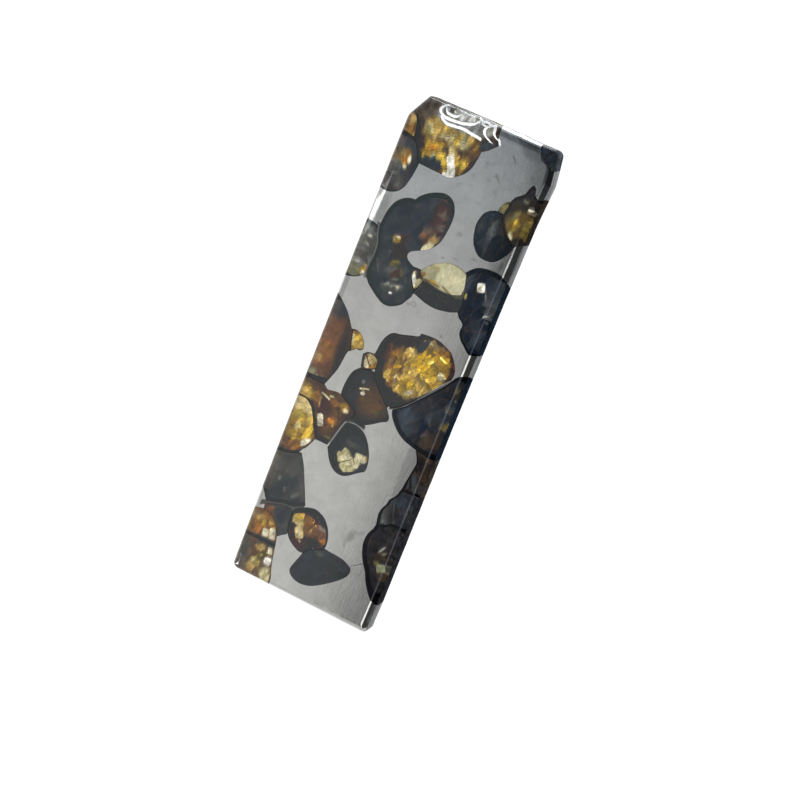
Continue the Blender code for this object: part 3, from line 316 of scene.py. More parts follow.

# How each crystal looks. base and base_two are the tones under its patches. cell is the number of
# chips per mm, long and turn their stretch and its angle. mosaic and small say how strongly the
# chips and the finer splinters break up the patches, wave how much the borders wander, vary how
# much the chips differ in brightness, at random and by the painted shade across each chip, crack
# and crack_tone how the fracture lines show, haze how strongly the left edge is painted paler, a
# painted sheen for the light that the rounded edge mirrors. shine is the tint of the light that the
# face mirrors, clear the share of light that goes through, wall the tone of the dark rim. A patch is
# an ellipse (e) or a rounded box (b), or one broken up by the chips (m or B): centre, half sizes,
# angle, tone, softness. A milk spot is cloudy: it has a strength in place of the tone.
LOOKS = {
    "crystal_top_golden": dict(
        base="umber", base_two="bark", cell=3.4, long=1.7, turn=62, mosaic=0.6, vary=0.45,
        crack=0.7,
        patches=[
            ("m", -2.2, 36.0, 2.3, 1.75, 0, "honey", 0.15),
            ("m", -2.3, 36.3, 1.6, 0.9, 10, "tan", 0.3),
            ("m", -3.6, 37.1, 1.0, 0.6, 0, "wheat", 0.25),
            ("m", -1.9, 37.1, 1.2, 0.45, 0, "wheat", 0.2),
            ("m", -5.0, 37.9, 0.6, 1.0, -20, "dust", 0.3),
            ("m", -4.95, 37.1, 0.3, 0.5, -20, "cocoa", 0.4),
            ("m", -4.5, 35.6, 0.45, 0.6, -20, "bark", 0.3),
            ("m", -2.6, 36.75, 0.6, 0.25, 20, "straw", 0.2),
            ("m", -2.8, 36.1, 0.5, 0.3, 15, "dark_gold", 0.3),
            ("m", -4.1, 36.75, 0.55, 0.3, -40, "straw", 0.25),
            ("m", -4.2, 36.5, 0.3, 0.2, -40, "olive", 0.25),
            ("m", -1.35, 36.75, 0.45, 0.5, 20, "straw", 0.15),
            ("m", -1.9, 36.7, 0.3, 0.3, 0, "yellow", 0.25),
            ("m", -0.4, 36.2, 0.5, 0.6, 30, "brown", 0.2),
            ("m", -3.0, 36.3, 0.5, 0.14, 15, "bark", 0.3),
            ("m", -2.25, 35.6, 0.3, 0.4, 20, "umber", 0.3),
            ("m", -1.1, 36.1, 0.4, 0.2, 20, "umber", 0.3),
            ("m", -3.4, 35.65, 0.75, 0.36, 10, "gold", 0.2),
            ("e", -3.4, 35.6, 0.36, 0.2, 10, "orange", 0.5),
            ("m", -2.45, 35.15, 0.35, 0.45, -20, "yellow", 0.2),
            ("m", -0.95, 35.35, 0.4, 0.6, 20, "yellow", 0.15),
            ("m", -1.05, 35.75, 0.3, 0.2, 20, "dark_gold", 0.3),
            ("m", -3.1, 35.1, 0.25, 0.2, 0, "sage", 0.3),
            ("m", -3.3, 34.5, 1.3, 0.42, 0, "ink", 0.2),
            ("e", -4.0, 34.68, 0.28, 0.12, -10, "tan", 0.4),
            ("e", -0.2, 35.2, 0.3, 1.2, -20, "bark", 0.3),
            ("b", -2.0, 36.0, 0.75, 0.22, -63, "butter", 0.25),
            ("b", -1.62, 34.95, 0.75, 0.3, -63, "white", 0.15),
            ("b", -1.52, 34.22, 0.48, 0.24, 12, "white", 0.12),
            # Painted reflection: the grey and near-white patches at the top edge, 38 mm and more up
            # the bar, stand for the glare that the worn edge mirrors; the dust patches there are the
            # crystal's own tone
            ("e", -1.9, 38.25, 2.3, 0.85, 0, "ash", 0.15),
            ("m", -1.6, 38.45, 0.9, 0.25, 5, "pewter", 0.3),
            ("m", -0.45, 38.0, 0.4, 0.3, 0, "grey", 0.3),
            ("m", 0.2, 38.3, 0.3, 0.35, 0, "pewter", 0.3),
            ("e", -3.0, 38.65, 0.3, 0.18, 0, "smoke", 0.3),
            ("m", -4.6, 38.3, 0.6, 0.5, 0, "dust", 0.3),
            ("m", -1.95, 38.45, 0.8, 0.22, 3, "pale_glare", 0.3),
            ("e", 0.35, 37.25, 0.65, 0.35, 35, "slate", 0.2),
        ]),
    "crystal_top_left_amber": dict(
        base="bark", base_two="smoke", cell=2.6, long=2.2, turn=80, haze=0.3, patches=[
            ("m", -5.5, 36.7, 0.36, 0.85, 8, "brown", 0.3),
            ("m", -5.6, 36.9, 0.16, 0.5, 8, "tan", 0.4),
            ("m", -5.35, 36.1, 0.2, 0.3, 0, "caramel", 0.3),
            ("m", -5.15, 35.85, 0.2, 0.2, 0, "wheat", 0.25),
            ("e", -5.95, 36.6, 0.2, 1.2, 0, "bark", 0.4),
        ]),
    "crystal_left_upper_amber": dict(
        base="slate", base_two="bark", cell=2.8, long=1.8, turn=80, patches=[
            ("m", -5.5, 33.5, 0.5, 0.6, 0, "smoke", 0.3),
            ("m", -5.5, 34.25, 0.35, 0.5, 0, "moss", 0.3),
            ("m", -5.05, 34.25, 0.32, 0.5, 0, "caramel", 0.25),
            ("m", -5.2, 34.45, 0.2, 0.3, 0, "tan", 0.3),
            ("m", -4.95, 33.9, 0.15, 0.3, 0, "amber", 0.3),
            ("e", -4.7, 34.15, 0.15, 0.35, 10, "cream", 0.3),
            ("e", -4.87, 33.55, 0.15, 0.2, 20, "cream", 0.35),
            ("m", -4.9, 32.3, 0.45, 0.7, 20, "smoke", 0.4),
            ("e", -5.35, 32.88, 0.3, 0.07, 10, "pewter", 0.3),
            ("e", -4.1, 33.9, 0.25, 1.2, 0, "ink", 0.3),
        ]),
    "crystal_top_right_dark": dict(
        base="slate", base_two="ink", shine=(0.05, 0.05, 0.05), cell=1.5, clear=0.4, wall="ash",
        patches=[
            ("m", 5.6, 37.5, 0.4, 0.6, 0, "smoke", 0.5),
        ]),
    "crystal_right_golden": dict(
        base="peat", base_two="coal", shine=(0.8, 0.78, 0.75), cell=3.0, long=1.6, turn=70,
        mosaic=0.45, patches=[
            ("m", 4.2, 33.9, 0.5, 0.6, 0, "peat", 0.3),
            ("m", 4.5, 32.9, 0.85, 1.0, -10, "loam", 0.25),
            ("m", 4.4, 32.95, 0.5, 0.8, -10, "moss", 0.3),
            ("m", 5.1, 33.4, 0.6, 0.5, 0, "loam", 0.3),
            ("m", 4.35, 32.8, 0.3, 0.5, -10, "dark_gold", 0.3),
            ("m", 4.4, 33.0, 0.2, 0.38, -10, "honey", 0.4),
            ("e", 4.43, 33.05, 0.08, 0.22, -10, "yellow", 0.6),
            ("B", 5.55, 32.75, 0.5, 0.8, -8, "khaki", 0.15),
            ("e", 5.5, 33.25, 0.2, 0.25, 0, "olive", 0.4),
            ("b", 5.17, 34.25, 0.22, 0.17, 25, "ivory", 0.2),
            ("e", 4.6, 34.7, 0.2, 0.17, 0, "sage", 0.35),
            ("e", 4.45, 31.98, 0.15, 0.32, 30, "cream", 0.3),
            ("m", 5.95, 34.5, 0.2, 0.35, 0, "straw", 0.25),
            ("e", 4.6, 35.5, 0.5, 0.7, 0, "coal", 0.3),
        ]),
    "crystal_small_olive": dict(
        base="khaki", base_two="moss", cell=3.0, clear=0.4, wall="ivory", patches=[
            ("m", 3.3, 33.6, 0.25, 0.4, 20, "olive", 0.35),
            ("e", 2.8, 33.0, 0.4, 0.4, 20, "smoke", 0.4),
        ]),
    "crystal_oval_dark": dict(
        base="navy", base_two="coal", clear=0.4, shine=(0.4, 0.58, 0.75), cell=1.8, long=2.5,
        turn=85, patches=[
            ("m", 2.6, 31.8, 0.9, 1.2, 5, "ink", 0.5),
            ("m", 4.0, 31.3, 0.75, 1.2, 15, "navy", 0.4),
            ("m", 3.05, 31.9, 0.2, 0.8, 4, "grey", 0.8),
            ("m", 2.75, 32.3, 0.12, 0.45, 12, "smoke", 0.7),
            ("m", 2.25, 31.8, 0.22, 0.5, 0, "smoke", 0.7),
            ("m", 3.1, 30.35, 0.15, 0.4, 10, "smoke", 0.7),
            ("m", 2.6, 30.8, 0.14, 0.4, -20, "slate", 0.6),
            ("m", 3.8, 32.3, 0.3, 0.5, 0, "bark", 0.5),
        ]),
    "crystal_large_dark": dict(
        base="slate", base_two="ink", shine=(0.8, 1.0, 1.0), cell=2.0, long=1.6, turn=60,
        patches=[
            ("m", -0.85, 31.0, 0.7, 1.6, 0, "plum", 0.35),
            ("m", -0.75, 31.35, 0.42, 0.3, 10, "dust", 0.4),
            ("m", -0.6, 30.6, 0.3, 0.3, 10, "dust", 0.5),
            ("m", -1.38, 29.65, 0.4, 0.45, -8, "dust", 0.35),
            ("m", -1.5, 29.5, 0.2, 0.25, -8, "rust", 0.5),
            ("e", -1.1, 29.3, 0.35, 0.5, -30, "umber", 0.4),
            ("m", -0.75, 29.4, 0.35, 0.55, -20, "tan", 0.35),
            ("m", -0.75, 29.0, 0.42, 0.2, 50, "straw", 0.35),
            ("m", -0.95, 28.75, 0.22, 0.2, 0, "cream", 0.35),
            ("e", -1.0, 32.55, 0.25, 0.12, -10, "tan", 0.5),
            ("e", -1.1, 32.6, 0.16, 0.06, -10, "pewter", 0.5),
            ("e", -0.4, 30.3, 0.14, 0.08, 0, "grey", 0.5),
            ("m", -2.6, 27.7, 0.7, 0.4, 0, "bark", 0.4),
            ("m", -2.75, 28.6, 0.35, 0.35, 0, "plum", 0.5),
            ("m", -3.35, 28.45, 0.42, 0.4, 12, "brown", 0.25),
            ("b", -3.35, 28.4, 0.3, 0.3, 12, "honey", 0.3),
            ("e", -3.3, 28.6, 0.2, 0.12, 10, "ivory", 0.3),
            ("e", -3.5, 28.35, 0.1, 0.16, 0, "straw", 0.4),
            ("e", -3.5, 27.4, 0.16, 0.08, 0, "smoke", 0.5),
            ("m", -2.6, 26.2, 0.8, 0.6, 20, "smoke", 0.4),
            ("m", -2.5, 26.0, 0.4, 0.3, 20, "umber", 0.4),
            ("m", -2.85, 26.65, 0.5, 0.16, 30, "moss", 0.3),
            ("m", -2.15, 26.5, 0.35, 0.16, -45, "moss", 0.3),
            ("e", -2.75, 26.85, 0.28, 0.06, 12, "olive", 0.4),
            ("b", -4.0, 26.1, 0.6, 0.07, -62, "smoke", 0.4),
            ("e", -2.3, 25.65, 0.28, 0.1, 20, "grey", 0.4),
            ("m", -2.4, 25.05, 0.9, 0.35, 5, "smoke", 0.3),
            ("m", -3.05, 25.0, 0.42, 0.11, -4, "pewter", 0.35),
            ("m", -2.05, 25.15, 0.42, 0.24, 10, "ash", 0.3),
            ("e", -2.0, 25.2, 0.18, 0.1, 0, "cream", 0.5),
            ("e", -2.3, 24.58, 0.15, 0.1, 10, "white", 0.35),
            ("e", -1.6, 25.9, 0.08, 0.25, 15, "smoke", 0.5),
        ]),
    "crystal_left_clear_grey": dict(
        base="grey", base_two="smoke", cell=2.2, long=2.4, turn=-35, haze=0.2, patches=[
            ("m", -5.6, 27.4, 0.5, 1.0, 0, "grey", 0.4),
            ("e", -5.95, 27.0, 0.3, 2.4, 0, "grey", 0.5),
            ("b", -5.5, 27.35, 0.42, 0.08, -38, "pewter", 0.35),
            ("e", -5.6, 28.05, 0.3, 0.09, 10, "grey", 0.4),
            ("e", -5.36, 27.85, 0.17, 0.13, 0, "white", 0.3),
            ("e", -5.0, 28.5, 0.3, 0.3, 0, "slate", 0.5),
            ("m", -5.3, 26.4, 0.5, 0.4, 0, "smoke", 0.3),
            ("e", -5.5, 25.75, 0.17, 0.12, 0, "pewter", 0.3),
            ("m", -5.5, 25.1, 0.5, 0.4, 10, "sage", 0.4),
            ("m", -4.85, 25.8, 0.16, 0.4, 5, "wheat", 0.25),
            ("m", -5.1, 25.42, 0.5, 0.12, 28, "honey", 0.4),
            ("e", -4.9, 25.08, 0.17, 0.2, 0, "ivory", 0.25),
        ]),
    "crystal_small_cream": dict(
        base="bark", base_two="umber", wall="tan", cell=3.5, long=2.0, turn=70, patches=[
            ("m", -0.95, 26.15, 0.3, 0.5, 15, "cream", 0.2),
            ("e", -1.0, 26.2, 0.13, 0.4, 20, "white", 0.4),
            ("m", -0.5, 26.0, 0.25, 0.42, -10, "straw", 0.25),
            ("m", -1.15, 26.75, 0.18, 0.2, 0, "straw", 0.3),
        ]),
    "crystal_pale_yellow": dict(
        base="ink", base_two="ink", wall="ivory", cell=2.6, long=1.6, turn=40, mosaic=0.3,
        small=0.15, vary=0.1, wave=0.18, crack=0.2, crack_tone="olive",
        milk=[("e", -0.25, 27.1, 0.62, 0.62, 20, 0.85, 0.3)], patches=[
            ("e", 1.1, 27.35, 2.05, 1.04, 0, "straw", 0.04),
            ("e", 1.6, 27.4, 1.3, 1.0, 0, "pale", 0.4),
            ("b", 2.3, 27.1, 0.8, 0.9, -8, "pale", 0.05),
            ("m", 0.15, 27.45, 0.5, 0.25, 30, "olive", 0.4),
            ("e", -0.25, 27.1, 0.75, 0.7, 20, "sand", 0.4),
            ("m", 1.7, 27.4, 0.7, 0.4, 10, "cream", 0.8),
            ("e", 0.4, 26.62, 0.3, 0.1, 0, "gold", 0.5),
            ("b", 0.35, 26.5, 0.7, 0.045, -4, "brown", 0.5),
            ("b", 1.65, 26.42, 0.6, 0.04, -22, "brown", 0.5),
            ("e", -0.5, 26.75, 0.18, 0.25, -30, "caramel", 0.4),
            ("b", 1.1, 25.7, 1.1, 0.5, 0, "ink", 0.1),
            ("b", -0.2, 25.7, 0.6, 0.5, 0, "ink", 0.2),
            ("b", 2.6, 25.6, 0.6, 0.55, 8, "ink", 0.1),
        ]),
    "crystal_right_upper_dark": dict(
        base="navy", base_two="night", shine=(0.35, 0.42, 0.55), cell=1.8, long=2.5, turn=75,
        vary=0.2, patches=[
            ("e", 2.85, 27.4, 0.28, 1.0, -12, "ink", 0.4),
            ("m", 5.1, 27.6, 0.7, 1.2, 0, "ink", 0.5),
            ("m", 5.15, 26.6, 0.55, 0.9, 0, "slate", 0.4),
            ("b", 4.5, 27.25, 0.07, 0.35, 20, "grey", 0.4),
            ("m", 5.2, 27.25, 0.22, 0.3, 10, "grey", 0.35),
            ("B", 5.35, 26.1, 0.3, 0.24, 5, "pewter", 0.2),
            ("e", 5.3, 25.42, 0.12, 0.12, 0, "pewter", 0.3),
            ("m", 4.9, 24.6, 0.5, 0.9, 20, "ink", 0.5),
            ("e", 3.12, 26.65, 0.11, 0.24, 10, "olive", 0.35),
            ("b", 3.95, 27.68, 0.31, 0.37, 18, "white", 0.12),
            ("e", 3.85, 27.6, 0.06, 0.2, -25, "straw", 0.5),
        ]),
    "crystal_centre_golden": dict(
        base="bark", base_two="umber", wall="grey", cell=2.8, long=2.0, turn=68, mosaic=0.45,
        vary=0.36, crack=0.45, patches=[
            ("m", -0.6, 20.2, 0.75, 1.7, 0, "brown", 0.3),
            ("e", -1.0, 20.6, 0.35, 1.0, 0, "plum", 0.6),
            ("m", 2.0, 19.9, 2.15, 1.95, 40, "wheat", 0.1),
            ("m", 2.6, 21.3, 1.7, 1.0, -10, "honey", 0.12),
            ("m", 2.4, 21.0, 1.0, 0.5, -10, "gold", 0.3),
            ("m", 0.1, 19.6, 0.6, 1.5, 0, "caramel", 0.2),
            ("m", 0.3, 19.9, 0.3, 1.1, 5, "honey", 0.3),
            ("m", 2.1, 20.2, 1.3, 0.8, 10, "gold", 0.3),
            ("m", 2.2, 19.4, 1.1, 0.5, 20, "wheat", 0.3),
            ("m", 1.4, 19.8, 0.5, 0.4, 20, "wheat", 0.3),
            ("B", 0.95, 21.4, 0.65, 0.4, -35, "wheat", 0.15),
            ("e", 0.9, 21.3, 0.4, 0.1, -35, "butter", 0.7),
            ("m", 3.65, 21.2, 0.45, 0.4, 0, "honey", 0.3),
            ("m", 3.3, 22.1, 0.45, 0.3, 0, "caramel", 0.3),
            ("m", 2.5, 22.4, 0.9, 0.25, 0, "tan", 0.25),
            ("e", 2.0, 22.35, 0.38, 0.08, 0, "straw", 0.4),
            ("m", 1.5, 18.7, 0.7, 0.5, 20, "gold", 0.2),
            ("m", 2.2, 18.4, 0.45, 0.4, 40, "wheat", 0.2),
            ("e", 1.9, 18.3, 0.3, 0.16, 40, "cream", 0.5),
            ("m", 0.78, 18.5, 0.28, 0.5, 10, "wheat", 0.2),
            ("e", 0.48, 18.95, 0.08, 0.3, 5, "cream", 0.45),
            ("m", -0.1, 18.75, 0.25, 0.45, 10, "wheat", 0.25),
            ("e", -0.32, 19.9, 0.14, 0.25, 0, "tan", 0.4),
            ("m", 0.75, 20.0, 0.1, 0.8, 5, "brown", 0.5),
            ("m", 3.75, 20.4, 0.42, 0.26, 15, "cream", 0.2),
            ("b", 3.4, 21.62, 0.34, 0.09, -20, "lemon", 0.35),
            ("m", 2.9, 21.05, 0.5, 0.18, -8, "lemon", 0.3),
            ("m", 3.2, 19.5, 0.5, 0.3, 40, "honey", 0.3),
            ("e", 4.35, 21.2, 0.2, 0.7, 18, "umber", 0.4),
            ("e", 3.95, 22.2, 0.3, 0.3, 0, "umber", 0.4),
            ("B", 1.5, 21.95, 0.45, 0.42, 10, "slate", 0.12),
            ("m", 0.0, 21.65, 1.2, 0.42, 18, "bark", 0.2),
            ("m", 0.6, 17.4, 1.5, 0.55, 0, "bark", 0.2),
            ("e", -1.42, 20.6, 0.2, 1.0, -8, "grey", 0.3),
        ]),
    "crystal_left_red_brown": dict(
        base="cocoa", base_two="umber", cell=2.4, long=2.2, turn=80, mosaic=0.25, small=0.15,
        vary=0.16, wave=0.6, crack=0.2, haze=0.5, patches=[
            ("e", -5.3, 19.0, 0.85, 1.9, 0, "rust", 0.7),
            ("e", -5.4, 22.1, 0.9, 0.9, 20, "slate", 0.5),
            ("m", -5.3, 19.7, 0.4, 0.7, 0, "rust", 0.6),
            ("m", -5.2, 18.7, 0.5, 0.5, 0, "caramel", 0.6),
            ("e", -5.45, 17.85, 0.42, 0.7, 5, "rust", 0.7),
            ("e", -5.45, 17.85, 0.25, 0.4, 10, "caramel", 0.9),
            ("m", -5.55, 18.0, 0.2, 0.25, 0, "tan", 0.5),
            ("m", -5.65, 16.65, 0.3, 0.35, 0, "sage", 0.5),
            ("e", -4.82, 16.6, 0.1, 0.1, 0, "grey", 0.6),
            ("e", -5.22, 16.5, 0.08, 0.07, 0, "pewter", 0.6),
            ("e", -4.1, 18.6, 0.4, 2.4, 4, "bark", 0.7),
        ]),
    "crystal_small_golden": dict(
        base="honey", base_two="caramel", wall="wheat", cell=3.0, mosaic=0.35, patches=[
            ("m", -3.35, 20.15, 0.6, 0.55, -10, "yellow", 0.15),
            ("m", -3.15, 19.95, 0.4, 0.3, 0, "wheat", 0.2),
            ("e", -3.66, 20.3, 0.12, 0.4, 15, "straw", 0.3),
            ("m", -2.85, 20.45, 0.2, 0.25, 0, "honey", 0.3),
        ]),
    "crystal_small_pale": dict(
        base="caramel", base_two="honey", wall="tan", cell=2.5, mosaic=0.35, small=0.15, patches=[
            ("e", -2.1, 19.02, 0.24, 0.5, 35, "cream", 0.15),
            ("m", -1.62, 19.4, 0.36, 0.32, 10, "butter", 0.15),
            ("e", -1.9, 19.65, 0.25, 0.12, 0, "straw", 0.3),
            ("b", -1.95, 19.2, 0.5, 0.05, -48, "brown", 0.4),
        ]),
    "crystal_centre_dark_brown": dict(
        base="slate", base_two="bark", cell=2.4, long=2.0, turn=45, mosaic=0.3, vary=0.2,
        patches=[
            ("m", -0.3, 16.4, 1.0, 1.3, 40, "cocoa", 0.5),
            ("m", -0.9, 16.3, 0.5, 0.8, 20, "cocoa", 0.6),
            ("m", -0.1, 16.2, 0.45, 0.35, 30, "brown", 0.6),
            ("m", 0.0, 15.8, 0.3, 0.2, 0, "moss", 0.5),
            ("e", 0.3, 17.0, 0.32, 0.07, -35, "grey", 0.6),
            ("b", -1.4, 17.12, 0.38, 0.07, 18, "cream", 0.35),
            ("b", -1.45, 16.98, 0.2, 0.05, -40, "straw", 0.4),
            ("e", -1.38, 16.75, 0.17, 0.13, 10, "ivory", 0.35),
            ("e", -1.65, 17.6, 0.12, 0.16, 0, "grey", 0.6),
        ]),
    "crystal_right_middle_dark": dict(
        base="navy", base_two="coal", shine=(0.45, 0.52, 0.62), cell=1.6, long=2.6, turn=70,
        vary=0.2, patches=[
            ("e", 2.5, 16.3, 0.9, 1.0, 20, "ink", 0.5),
            ("m", 5.4, 18.0, 0.5, 2.2, 0, "ink", 0.5),
            ("m", 5.3, 19.7, 0.35, 0.6, 0, "moss", 0.35),
            ("e", 5.4, 19.2, 0.09, 0.12, 0, "cream", 0.4),
            ("m", 5.5, 17.2, 0.35, 0.35, 0, "olive", 0.25),
            ("e", 5.55, 17.2, 0.2, 0.15, 0, "gold", 0.5),
            ("e", 5.88, 18.0, 0.13, 0.35, 0, "sage", 0.3),
            ("m", 4.4, 16.2, 0.3, 0.27, 0, "plum", 0.5),
            ("m", 4.2, 17.1, 0.3, 0.3, 0, "slate", 0.4),
            ("m", 4.6, 17.6, 0.6, 0.8, 20, "ink", 0.5),
            ("m", 5.2, 18.4, 0.3, 0.4, 20, "smoke", 0.5),
            ("m", 3.2, 18.0, 0.4, 0.6, 30, "coal", 0.5),
            ("m", 4.9, 15.4, 0.7, 0.7, 0, "bark", 0.5),
        ]),
    "crystal_right_brown": dict(
        base="bark", base_two="night", shine=(0.5, 0.48, 0.48), cell=2.0, long=4.0, turn=-70,
        patches=[
            ("b", 4.95, 12.1, 0.2, 0.8, 22, "slate", 0.3),
            ("m", 5.3, 13.4, 0.25, 0.9, 20, "umber", 0.5),
            ("m", 4.5, 12.3, 0.2, 0.8, 5, "slate", 0.4),
        ]),
    "crystal_right_blue_black": dict(
        base="coal", base_two="ink", shine=(0.45, 0.5, 0.6), cell=1.8, long=2.5, turn=-60, vary=0.2,
        patches=[
            ("m", 3.75, 9.1, 0.4, 0.9, 5, "smoke", 0.3),
            ("m", 4.4, 9.2, 0.5, 0.6, 0, "coal", 0.5),
            ("b", 4.15, 10.0, 0.05, 0.8, 15, "slate", 0.5),
            ("b", 4.9, 8.65, 0.4, 0.05, -10, "slate", 0.5),
        ]),
    "crystal_lower_right_black": dict(
        base="coal", base_two="coal", shine=(0.42, 0.42, 0.55), cell=2.0, long=1.6, turn=30,
        patches=[
            ("m", 4.75, 5.95, 0.4, 0.5, 0, "bark", 0.4),
            ("e", 4.6, 6.45, 0.34, 0.09, 60, "pewter", 0.5),
            ("e", 4.85, 6.2, 0.25, 0.06, 40, "sage", 0.5),
            ("b", 5.05, 5.05, 0.36, 0.36, 25, "sage", 0.2),
            ("e", 4.55, 5.3, 0.2, 0.2, 0, "moss", 0.4),
            ("m", 5.7, 4.7, 0.5, 0.4, 20, "bark", 0.3),
            ("e", 6.0, 5.4, 0.15, 0.4, -10, "tan", 0.4),
        ]),
    "crystal_left_orange": dict(
        base="cocoa", base_two="umber", cell=2.6, long=1.8, turn=60, mosaic=0.4, patches=[
            ("m", -3.5, 15.7, 1.4, 0.3, -8, "cocoa", 0.3),
            ("m", -5.2, 15.1, 0.85, 0.6, 0, "honey", 0.25),
            ("m", -5.5, 14.9, 0.5, 0.4, 0, "wheat", 0.3),
            ("m", -4.9, 15.55, 0.55, 0.22, 0, "brown", 0.4),
            ("e", -5.35, 15.4, 0.12, 0.1, 0, "yellow", 0.4),
            ("m", -4.6, 15.0, 0.25, 0.4, 10, "caramel", 0.4),
            ("b", -4.25, 14.8, 0.08, 0.45, 8, "tan", 0.4),
            ("m", -3.1, 15.25, 0.35, 0.25, -15, "caramel", 0.3),
            ("b", -3.95, 15.35, 0.42, 0.09, -18, "cream", 0.3),
            ("e", -3.5, 15.52, 0.2, 0.1, 10, "straw", 0.4),
            ("m", -2.3, 15.1, 0.4, 0.3, -20, "honey", 0.3),
            ("e", -2.1, 14.95, 0.22, 0.16, -20, "cream", 0.35),
            ("m", -4.3, 13.9, 0.22, 0.6, 20, "brown", 0.3),
            ("m", -2.85, 13.75, 0.42, 0.36, -25, "caramel", 0.3),
            ("e", -2.85, 13.75, 0.3, 0.22, -25, "orange", 0.4),
            ("e", -2.65, 13.55, 0.1, 0.18, 15, "wheat", 0.4),
            ("b", -3.7, 13.5, 0.25, 0.5, 22, "ivory", 0.15),
            ("m", -2.9, 12.7, 0.7, 0.5, 0, "cocoa", 0.3),
            ("e", -2.6, 12.4, 0.4, 0.2, 0, "moss", 0.4),
            ("e", -3.4, 12.22, 0.12, 0.14, 20, "ivory", 0.3),
        ]),
    "crystal_left_golden": dict(
        base="brown", base_two="umber", cell=2.5, long=1.8, turn=65, mosaic=0.4, vary=0.3, haze=0.4,
        patches=[
            ("m", -4.9, 12.4, 1.0, 1.4, 15, "yellow", 0.2),
            ("m", -5.0, 12.0, 0.6, 0.3, 15, "honey", 0.4),
            ("m", -5.3, 13.9, 0.95, 0.6, -18, "butter", 0.15),
            ("m", -5.5, 14.1, 0.5, 0.25, -18, "butter", 0.4),
            ("m", -5.1, 13.3, 0.7, 0.35, 0, "yellow", 0.3),
            ("m", -5.4, 13.1, 0.4, 0.16, 35, "lemon", 0.3),
            ("m", -4.6, 12.9, 0.35, 0.35, -20, "wheat", 0.25),
            ("m", -5.2, 12.3, 0.25, 0.4, 0, "butter", 0.3),
            ("m", -4.6, 12.1, 0.3, 0.3, 0, "yellow", 0.4),
            ("m", -4.75, 11.65, 0.4, 0.25, 20, "honey", 0.4),
            ("m", -5.6, 12.2, 0.16, 0.9, 0, "honey", 0.5),
            ("e", -4.18, 11.4, 0.22, 0.5, -42, "ivory", 0.25),
            ("m", -4.9, 10.85, 0.5, 0.4, 10, "caramel", 0.4),
        ]),
    "crystal_round_cream": dict(
        base="slate", base_two="slate", cell=3.4, long=1.2, turn=30, mosaic=0.3, small=0.1, vary=0.2,
        crack=0.5, crack_tone="moss", patches=[
            ("e", -0.6, 12.85, 0.5, 0.2, 0, "smoke", 0.6),
            ("m", -1.3, 11.6, 0.36, 0.42, 0, "straw", 0.2),
            ("m", -0.85, 12.05, 0.4, 0.35, 0, "straw", 0.2),
            ("m", -0.55, 11.5, 0.55, 0.5, 0, "cream", 0.2),
            ("m", -0.5, 10.95, 0.7, 0.33, 12, "straw", 0.2),
            ("m", 0.05, 11.55, 0.4, 0.42, 0, "cream", 0.2),
            ("m", 0.35, 12.15, 0.5, 0.35, 10, "cream", 0.2),
            ("e", 0.82, 12.35, 0.14, 0.14, 0, "tan", 0.4),
            ("b", -0.75, 11.4, 0.6, 0.03, 40, "moss", 0.6),
            ("b", -0.2, 11.9, 0.5, 0.03, -50, "moss", 0.6),
        ]),
    "crystal_left_slate": dict(
        base="smoke", base_two="slate", cell=1.5, long=2.0, turn=70, vary=0.15, patches=[
            ("m", -4.7, 7.2, 0.8, 0.9, 0, "slate", 0.5),
            ("m", -5.3, 8.6, 0.6, 1.0, 0, "smoke", 0.5),
            ("m", -4.3, 9.0, 0.4, 0.7, 0, "smoke", 0.5),
            ("e", -5.0, 8.0, 0.12, 0.2, 0, "grey", 0.6),
            ("m", -3.3, 7.4, 0.25, 0.35, -15, "grey", 0.4),
            ("e", -4.3, 7.3, 0.1, 0.22, 10, "grey", 0.5),
            ("m", -2.95, 7.8, 0.4, 0.9, 28, "smoke", 0.4),
        ]),
    "crystal_lower_blue_grey": dict(
        base="smoke", base_two="slate", cell=1.6, clear=0.3, wall="grey", patches=[
            ("m", -4.75, 5.35, 0.6, 0.35, 0, "rust", 0.5),
            ("e", -3.7, 5.2, 0.4, 0.5, 0, "slate", 0.5),
        ]),
    "crystal_lower_left_amber": dict(
        base="caramel", base_two="brown", cell=2.6, long=1.5, turn=70, mosaic=0.4, patches=[
            ("m", -4.6, 4.6, 0.75, 0.3, -10, "caramel", 0.3),
            ("m", -4.4, 4.45, 0.35, 0.2, -10, "wheat", 0.4),
            ("m", -5.3, 4.55, 0.25, 0.25, 0, "tan", 0.3),
            ("m", -4.9, 4.1, 0.6, 0.35, 0, "caramel", 0.3),
            ("m", -5.05, 4.2, 0.35, 0.25, 0, "yellow", 0.4),
            ("m", -5.15, 3.7, 0.25, 0.45, 10, "amber", 0.35),
            ("b", -4.45, 3.5, 0.26, 0.36, 12, "ivory", 0.15),
            ("b", -3.88, 3.65, 0.27, 0.5, 14, "ivory", 0.12),
            ("e", -4.15, 3.55, 0.04, 0.4, 12, "wheat", 0.5),
            ("e", -4.2, 3.0, 1.1, 0.16, 0, "smoke", 0.3),
            ("e", -5.85, 3.9, 0.3, 1.1, 0, "smoke", 0.4),
        ]),
    "crystal_bottom_left_amber": dict(
        base="brown", base_two="dust", cell=2.6, long=1.5, turn=60, patches=[
            ("e", -3.9, 2.85, 1.0, 0.15, 0, "slate", 0.3),
            ("m", -4.4, 2.3, 0.45, 0.25, 0, "tan", 0.35),
            ("m", -4.1, 1.8, 0.4, 0.35, 0, "moss", 0.35),
            ("m", -4.25, 0.95, 0.6, 0.3, -40, "olive", 0.25),
            ("e", -4.55, 1.1, 0.15, 0.15, 0, "straw", 0.4),
            ("m", -3.3, 0.5, 0.45, 0.6, 10, "straw", 0.2),
            ("b", -3.55, 2.35, 0.2, 0.32, 18, "ivory", 0.15),
